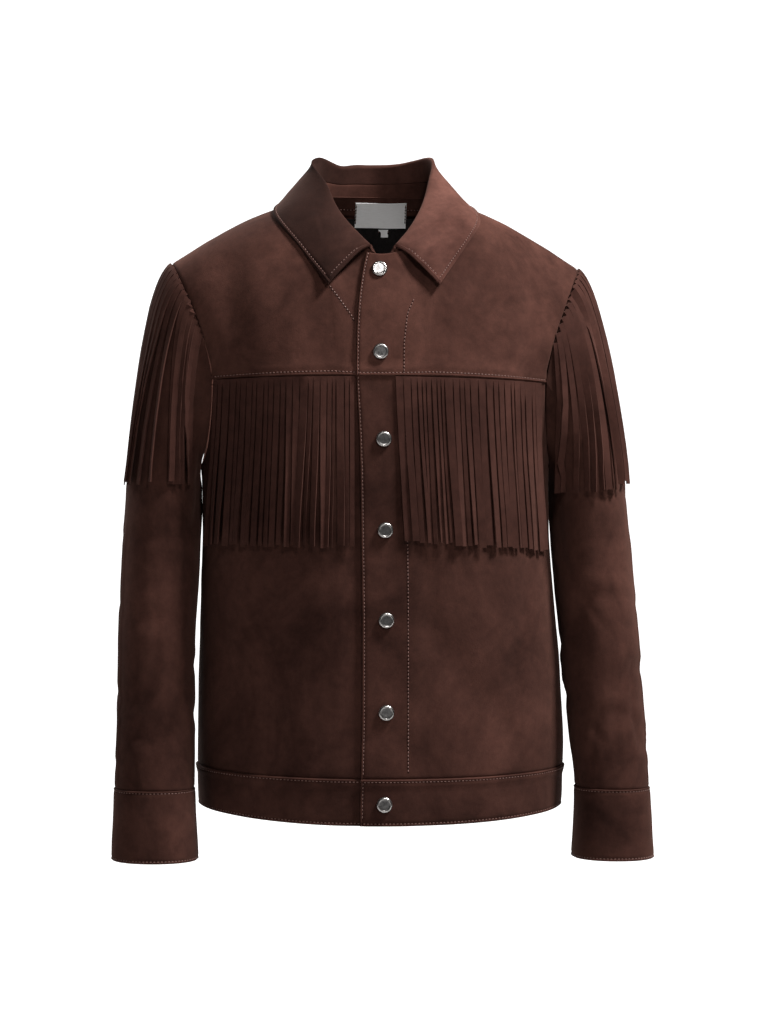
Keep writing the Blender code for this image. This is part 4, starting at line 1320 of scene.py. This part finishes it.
def add_tab(name, at, size, surface, material, thread):
    """A flat blank piece of ribbon that lies inside the back of the neck."""
    rows = []
    for z in at[1] + size[1] * (0.5 - crowd_both(20, 0.04)):
        row = []
        for x in at[0] + size[0] * (crowd_both(30, 0.03) - 0.5):
            place, outward = surface.across(x, z, 1)
            off = WALL + LINING_OFF + LINING_WALL + TAB_OFF
            bow = TAB_BOW * math.sin((x - at[0]) / size[0] * math.pi + 1.2) ** 2
            row.append(place - outward * (off + bow))
        rows.append(row)
    panel = Panel(name, np.array(rows), 1, wall=LINING_WALL)
    add_wall(panel, material)
    inner = panel.grid - panel.normals * LINING_WALL
    for column in (1, -2):
        thread.run(inner[2:-2, column], -panel.normals[2:-2, column])


def add_neck_inside(yoke, surface, materials, thread):
    """The facing along the back neckline, the lining under it, the label and its tab."""
    middle = yoke.grid.shape[1] // 2
    neck = slice(middle - NECK_SPANS + 2, middle + NECK_SPANS - 1)
    reach = NECK_SPANS + LINING_SPANS
    under = slice(middle - reach, middle + reach + 1)
    facing = inner_copy("neck_facing", yoke, slice(0, FACING_ROWS), neck)
    lining = inner_copy("lining_back", yoke, slice(FACING_ROWS, LINING_END), under)
    draw_in(facing, ["bottom"])
    draw_in(lining, ["top"])
    add_wall(facing, materials["suede"])
    rows, columns = lining.grid.shape[:2]
    for r in range(rows):
        for c in range(columns):
            fold = math.sin(0.42 * c + 0.10 * r) * math.sin(0.13 * c + 0.7)
            ends = min(r / 4, (rows - 1 - r) / 4, 1.0)
            lining.grid[r, c] -= lining.normals[r, c] * (LINING_FOLD + LINING_FOLD * fold) * ends
    add_wall(lining, materials["satin"])
    inner = facing.grid - facing.normals * LINING_WALL
    thread.run(inner[-3], -facing.normals[-3])
    add_tab("label", LABEL_AT, LABEL_SIZE, surface, materials["label"], thread)
    add_tab("size_tab", TAB_AT, TAB_SIZE, surface, materials["label"], thread)


# Lines of stitches that hold the front facings, as places seen from the front
FACING_LINE = [(0.0317, -0.1022), (0.0245, -0.1177), (0.0208, -0.1476), (0.0203, -0.1865)]
FACING_LOWER = [(0.0215, -0.192), (0.0235, -0.300), (0.0255, -0.400), (0.0265, -0.5965)]
FACING_UNDER = [(-0.0560, -0.0890), (-0.0421, -0.1084), (-0.0338, -0.1198), (-0.0290, -0.1300)]


def surface_line(surface, places, face):
    """Points and normals along a line of places on the front or the back."""
    places = np.array(places)
    steps = lengths_along(places)
    found = []
    for d in np.arange(0.0, steps[-1], 0.004):
        x = np.interp(d, steps, places[:, 0])
        z = np.interp(d, steps, places[:, 1])
        found.append(surface.across(x, z, face))
    return np.array([f[0] for f in found]), np.array([f[1] for f in found])


class Paint:
    """A material: its nodes, added and linked by short calls."""

    def __init__(self, name, values):
        self.material = bpy.data.materials.new(name)
        self.material.use_nodes = True
        self.tree = self.material.node_tree
        self.shader = self.tree.nodes["Principled BSDF"]
        self.fill(self.shader, values)
        self.places = self.add("TexCoord", {}).outputs["Object"]

    def fill(self, node, values):
        """Give a node's sockets their values, or link them to another node's output."""
        for name, value in values.items():
            if isinstance(value, bpy.types.NodeSocket):
                self.tree.links.new(value, node.inputs[name])
            else:
                node.inputs[name].default_value = value
        return node

    def add(self, kind, values):
        return self.fill(self.tree.nodes.new("ShaderNode" + kind), values)

    def noise(self, scale, detail, rough=0.5, distortion=0.0, stretch=None):
        """Noise over the piece's own places."""
        places = self.places
        if stretch:
            places = self.add("Mapping", {"Vector": places, "Scale": stretch}).outputs["Vector"]
        values = {"Vector": places, "Scale": scale, "Detail": detail, "Roughness": rough}
        return self.add("TexNoise", {**values, "Distortion": distortion}).outputs["Fac"]

    def ramp(self, source, *stops):
        """Colours along a value, from pairs of a position and a colour."""
        node = self.add("ValToRGB", {"Fac": source})
        elements = node.color_ramp.elements
        for element, (position, colour) in zip(elements, (stops[0], stops[-1])):
            element.position = position
            element.color = (*colour, 1.0)
        for position, colour in stops[1:-1]:
            elements.new(position).color = (*colour, 1.0)
        return node.outputs["Color"]

    def multiply(self, one, two):
        node = self.add("Mix", {})
        node.data_type = "RGBA"
        node.blend_type = "MULTIPLY"
        return self.fill(node, {"Factor": 1.0, "A": one, "B": two}).outputs["Result"]

    def bump(self, height, strength, distance, below=None):
        values = {"Height": height, "Strength": strength, "Distance": distance}
        if below:
            values["Normal"] = below
        return self.add("Bump", values).outputs["Normal"]

    def finish(self, values):
        """Link the shader to the nodes before it."""
        self.fill(self.shader, values)
        return self.material


def suede(name, dark, light, painted_side_shading=None):
    """Napped leather: rubbed light and dark marks, short fibres and a soft sheen at its edges.

    When the last pair is given, it paints light and shade across the middle: it darkens the side
    at -X and lightens the side at +X, as the light from +X falls on them, and holds the factors
    for the two sides from -X to +X.
    """
    paint = Paint(
        name,
        {
            "Roughness": 0.92,
            "Specular IOR Level": 0.06,
            "Sheen Weight": 0.10,
            "Sheen Roughness": 0.5,
            "Sheen Tint": (0.55, 0.30, 0.24, 1.0),
        },
    )
    middle = tuple(a + (b - a) * 0.5 for a, b in zip(dark, light))
    marks = paint.noise(11.0, 7.0, 0.62, 0.5, (1.0, 1.0, 0.75))
    tone = paint.ramp(marks, (0.30, dark), (0.52, middle), (0.74, light))
    fine = paint.noise(95.0, 5.0, 0.7, 0.3)
    flecks = paint.ramp(fine, (0.30, (0.80, 0.80, 0.80)), (0.72, (1.18, 1.16, 1.15)))
    colour = paint.multiply(tone, flecks)
    # Painted light and shade: the colour is darkened towards -X and lightened towards +X across the
    # middle
    if painted_side_shading:
        across = paint.add("SeparateXYZ", {"Vector": paint.places}).outputs["X"]
        spread = paint.add("MapRange", {"Value": across, "From Min": -0.06, "From Max": 0.06})
        sides = paint.ramp(spread.outputs["Result"], (0.0, painted_side_shading[0]), (1.0, painted_side_shading[1]))
        colour = paint.multiply(colour, sides)
    fibre = paint.noise(900.0, 3.0, 0.8)
    grain = paint.bump(paint.noise(260.0, 4.0, 0.7), 0.35, 0.0005)
    return paint.finish({"Base Color": colour, "Normal": paint.bump(fibre, 0.5, 0.0003, grain)})


def thread_material():
    paint = Paint("thread", {"Roughness": 0.6})
    twist = paint.noise(700.0, 2.0)
    tone = paint.ramp(twist, (0.35, (0.085, 0.038, 0.030)), (0.65, (0.185, 0.092, 0.073)))
    return paint.finish({"Base Color": tone})


def satin_material():
    paint = Paint("satin", {"Roughness": 0.42, "Specular IOR Level": 0.35, "Anisotropic": 0.4})
    weave = paint.noise(500.0, 2.0, 0.5, 0.0, (1.0, 1.0, 0.15))
    tone = paint.ramp(weave, (0.3, (0.006, 0.005, 0.005)), (0.7, (0.016, 0.013, 0.013)))
    folds = paint.noise(34.0, 3.0, 0.5, 0.8, (1.0, 1.0, 0.35))
    return paint.finish({"Base Color": tone, "Normal": paint.bump(folds, 0.5, 0.003)})


def label_material():
    paint = Paint("ribbon", {"Roughness": 0.38, "Sheen Weight": 0.2})
    threads = paint.noise(800.0, 2.0, 0.5, 0.0, (0.2, 1.0, 3.0))
    tone = paint.ramp(threads, (0.3, (0.88, 0.87, 0.86)), (0.7, (0.96, 0.955, 0.95)))
    return paint.finish({"Base Color": tone, "Normal": paint.bump(threads, 0.3, 0.0002)})


def metal_material(name, dark, light, roughness):
    paint = Paint(name, {"Metallic": 1.0})
    tone = paint.ramp(paint.noise(420.0, 3.0, 0.6), (0.3, dark), (0.7, light))
    limits = {"To Min": roughness - 0.06, "To Max": roughness + 0.10}
    wear = paint.add("MapRange", {"Value": paint.noise(900.0, 3.0), **limits})
    return paint.finish({"Base Color": tone, "Roughness": wear.outputs["Result"]})


def make_materials():
    # Painted light and shade for the collar: its side at -X darkened and its side at +X lightened, as
    # the key light from +X falls on them
    painted_side_shading = ((0.27, 0.255, 0.25), (1.50, 1.54, 1.58))
    return {
        "suede": suede("suede", (0.021, 0.0077, 0.0056), (0.083, 0.0348, 0.0260)),
        # A darker copy of the yokes' suede: painted shade for the panels below the yokes, which face
        # the light from above less
        "lower": suede("lower_suede_painted_shade", (0.0158, 0.0058, 0.0042), (0.0610, 0.0252, 0.0188)),
        "collar": suede("collar_suede_painted_light", (0.026, 0.0098, 0.0072), (0.080, 0.0345, 0.0262), painted_side_shading),
        "fringe": suede("fringe_suede", (0.022, 0.0082, 0.0062), (0.060, 0.0250, 0.0192)),
        "thread": thread_material(),
        # Painted shade for the needle holes: a darker copy of the suede
        "hole_shade": suede("hole_shade", (0.006, 0.0022, 0.0016), (0.012, 0.0045, 0.0034)),
        "satin": satin_material(),
        "label": label_material(),
        "rim": metal_material("snap_rim", (0.30, 0.285, 0.275), (0.44, 0.42, 0.405), 0.24),
        "centre": metal_material("snap_centre", (0.13, 0.125, 0.122), (0.26, 0.25, 0.245), 0.30),
    }


def sew(panels, band, leaf, cuffs, surface, thread):
    """Rows of stitches along the edges of the pieces."""
    row = STITCH_ROW

    def along(panel, rows, columns, closed=False):
        thread.run(panel.grid[rows, columns], panel.normals[rows, columns], closed)

    every = slice(None)
    for name in ("yoke_front_left", "front_left"):
        along(panels[name], every, row)
    for name in ("yoke_front_left", "yoke_front_right", "yoke_back"):
        along(panels[name], -1 - row, slice(0 if name == "yoke_back" else row, None))
    for line in (row, -1 - row):
        along(band, line, slice(row, None))
    along(band, slice(row, -row), row)
    along(leaf, -1 - row, slice(row, -row))
    for column in (row, -1 - row):
        along(leaf, slice(STAND_SPANS + 12, -row), column)
    for cuff in cuffs:
        for line in (row, -1 - row):
            along(cuff, line, every, closed=True)
    for places in (FACING_LINE, FACING_LOWER, FACING_UNDER):
        thread.run(*surface_line(surface, places, -1))


def shape_edges(panels, band, stand, leaf, cuffs, sleeves):
    """Lap, stitch and roll the edges of all the pieces."""
    yokes = [panels["yoke_front_left"], panels["yoke_front_right"], panels["yoke_back"]]
    lowers = [panels["front_left"], panels["front_right"]]
    for yoke in yokes:
        shape_edge(yoke, ["bottom"], LAPPED, out=1)
        shape_edge(yoke, ["bottom"], STITCHED)
    for yoke in yokes[:2]:
        shape_edge(yoke, ["first"], STITCHED)
        shape_edge(yoke, ["top", "last"], PLAIN)
    shape_edge(yokes[2], ["top", "first", "last"], PLAIN)
    for lower in lowers:
        shape_edge(lower, ["first"], STITCHED)
        shape_edge(lower, ["bottom", "last"], PLAIN)
    shape_edge(panels["back"], ["bottom", "first", "last"], PLAIN)
    shape_edge(band, ["top"], LAPPED, out=1)
    shape_edge(band, ["top", "bottom", "first"], STITCHED)
    shape_edge(leaf, ["bottom", "first", "last"], STITCHED)
    shape_edge(stand, ["bottom"], PLAIN)
    for cuff in cuffs:
        shape_edge(cuff, ["top", "bottom"], STITCHED)
    for sleeve in sleeves:
        shape_edge(sleeve, ["top", "bottom"], PLAIN)


def seam_sides(panel):
    """The sides where a piece is drawn in, all but the waistband's lapped seam."""
    ends = ["top", "bottom"]
    if panel.name == "waistband":
        ends = ["bottom"]
    elif panel.name == "back" or panel.name.startswith("front"):
        ends = ["top"]
    return ends if panel.closed else [*ends, "first", "last"]


def cloth_of(name):
    """Which suede a piece is made of: the yokes and stand get the lightest copy, and the panels below
    a darker copy with painted shade, as they face the light from above less.
    """
    if name == "collar":
        return "collar"
    return "suede" if name == "collar_stand" or name.startswith("yoke") else "lower"


def add_garment(materials):
    panels = body_panels()
    body = list(panels.values())
    band = waistband_panel()
    share_normals([*body, band])
    yoke_inside = Panel("yoke_inside", panels["yoke_back"].grid.copy(), 1)
    yoke_inside.normals = panels["yoke_back"].normals.copy()
    flat_surface = Surface([*body, band])
    turned_sleeves = {side: sleeve_panel(panels, side) for side in (1, -1)}
    sleeves = {side: sleeve for side, (sleeve, _) in turned_sleeves.items()}
    for sleeve in sleeves.values():
        join_armhole(body, sleeve)
    stand, leaf = collar_panels(body)
    cuffs = [cuff_panel(side, angles) for side, (_, angles) in turned_sleeves.items()]
    for side, (sleeve, angles) in turned_sleeves.items():
        crease_sleeve(sleeve, side, angles)
    pieces = [*body, band, stand, leaf, *cuffs, *sleeves.values()]
    for panel in pieces:
        lay(panel)
    shape_edges(panels, band, stand, leaf, cuffs, sleeves.values())
    surface = Surface([*body, band])
    for row in FRINGE_ROWS:
        body_fringe(row, surface, materials["fringe"])
    for side, sleeve in sleeves.items():
        sleeve_fringe(panels, sleeve, side, materials["fringe"])
    thread = Thread()
    sew(panels, band, leaf, cuffs, surface, thread)
    for panel in pieces:
        draw_in(panel, seam_sides(panel))
        add_wall(panel, materials[cloth_of(panel.name)])
    add_snaps(surface, materials["rim"], materials["centre"])
    add_neck_inside(yoke_inside, flat_surface, materials, thread)
    thread.make(materials["thread"], materials["hole_shade"])


def add_stage():
    """A pale floor that rises far behind the garment as a narrower glowing sweep."""
    wide, narrow = 9.0, 3.0
    front_y, back_y = -8.0, 6.0
    floor_z, top_z = -1.15, 3.2
    radius = 1.6
    bend_y = back_y - radius
    profile = [(wide, front_y, floor_z), (wide, 2.6, floor_z), (narrow, bend_y, floor_z)]
    for a in np.radians(np.linspace(0, 90, 16)[1:]):
        z = floor_z + radius * (1 - math.cos(a))
        profile.append((narrow, bend_y + radius * math.sin(a), z))
    profile.append((narrow, back_y, top_z))
    points = [(x * side, y, z) for x, y, z in profile for side in (-1, 1)]
    faces = [(2 * i, 2 * i + 1, 2 * i + 3, 2 * i + 2) for i in range(len(profile) - 1)]
    mesh = bpy.data.meshes.new("sweep")
    mesh.from_pydata(points, [], faces)
    mesh.shade_smooth()
    white = (1.0, 1.0, 1.0, 1.0)
    grey = (0.50, 0.50, 0.50, 1.0)
    paint = Paint("sweep_paint", {"Base Color": grey, "Roughness": 0.9, "Emission Color": white})
    along = paint.add("SeparateXYZ", {"Vector": paint.places}).outputs["Y"]
    limits = {"From Min": 0.4, "From Max": 3.4, "To Min": 0.20, "To Max": 1.0}
    glow = paint.add("MapRange", {"Value": along, **limits})
    glow.interpolation_type = "SMOOTHSTEP"
    material = paint.finish({"Emission Strength": glow.outputs["Result"]})
    mesh.materials.append(material)
    sweep = bpy.data.objects.new("sweep", mesh)
    bpy.context.collection.objects.link(sweep)


def add_light(name, place, target, size, power, colour):
    light = bpy.data.lights.new(name, "AREA")
    light.size = size
    light.energy = power
    light.color = colour
    thing = bpy.data.objects.new(name, light)
    thing.location = place
    thing.rotation_euler = (Vector(target) - Vector(place)).to_track_quat("-Z", "Y").to_euler()
    bpy.context.collection.objects.link(thing)


def add_lights():
    middle = (0.0, 0.0, -0.30)
    add_light("key", (1.5, -0.68, 2.1), middle, 0.5, 200.0, (1.0, 0.985, 0.97))
    add_light("collar", (0.20, -1.35, 0.74), (0.02, 0.03, 0.0), 0.2, 9.0, (1.0, 0.99, 0.98))
    add_light("back", (-1.2, 1.6, 1.4), middle, 1.6, 40.0, (1.0, 1.0, 1.0))
    world = bpy.data.worlds.new("studio")
    world.use_nodes = True
    world.node_tree.nodes["Background"].inputs["Color"].default_value = (1.0, 1.0, 1.0, 1.0)
    world.node_tree.nodes["Background"].inputs["Strength"].default_value = 0.06
    bpy.context.scene.world = world


CAMERA_LENS = 84.6
CAMERA_AWAY = 2.6
CAMERA_TURN = math.radians(4.6)
CAMERA_ROLL = math.radians(0.30)
CAMERA_AIM = (0.0105, 0.0, -0.3235)


def add_camera():
    data = bpy.data.cameras.new("camera")
    data.lens = CAMERA_LENS
    data.sensor_width = 36.0
    data.sensor_fit = "AUTO"
    camera = bpy.data.objects.new("camera", data)
    aim = Vector(CAMERA_AIM)
    away = Vector((-math.sin(CAMERA_TURN), -math.cos(CAMERA_TURN), 0.0)) * CAMERA_AWAY
    camera.location = aim + away
    look = (-away).to_track_quat("-Z", "Y").to_matrix().to_4x4()
    roll = Matrix.Rotation(CAMERA_ROLL, 4, "Z")
    camera.matrix_world = Matrix.Translation(camera.location) @ look @ roll
    bpy.context.collection.objects.link(camera)
    bpy.context.scene.camera = camera
    bpy.context.scene.view_settings.view_transform = "Standard"


add_camera()
add_stage()
add_lights()
add_garment(make_materials())
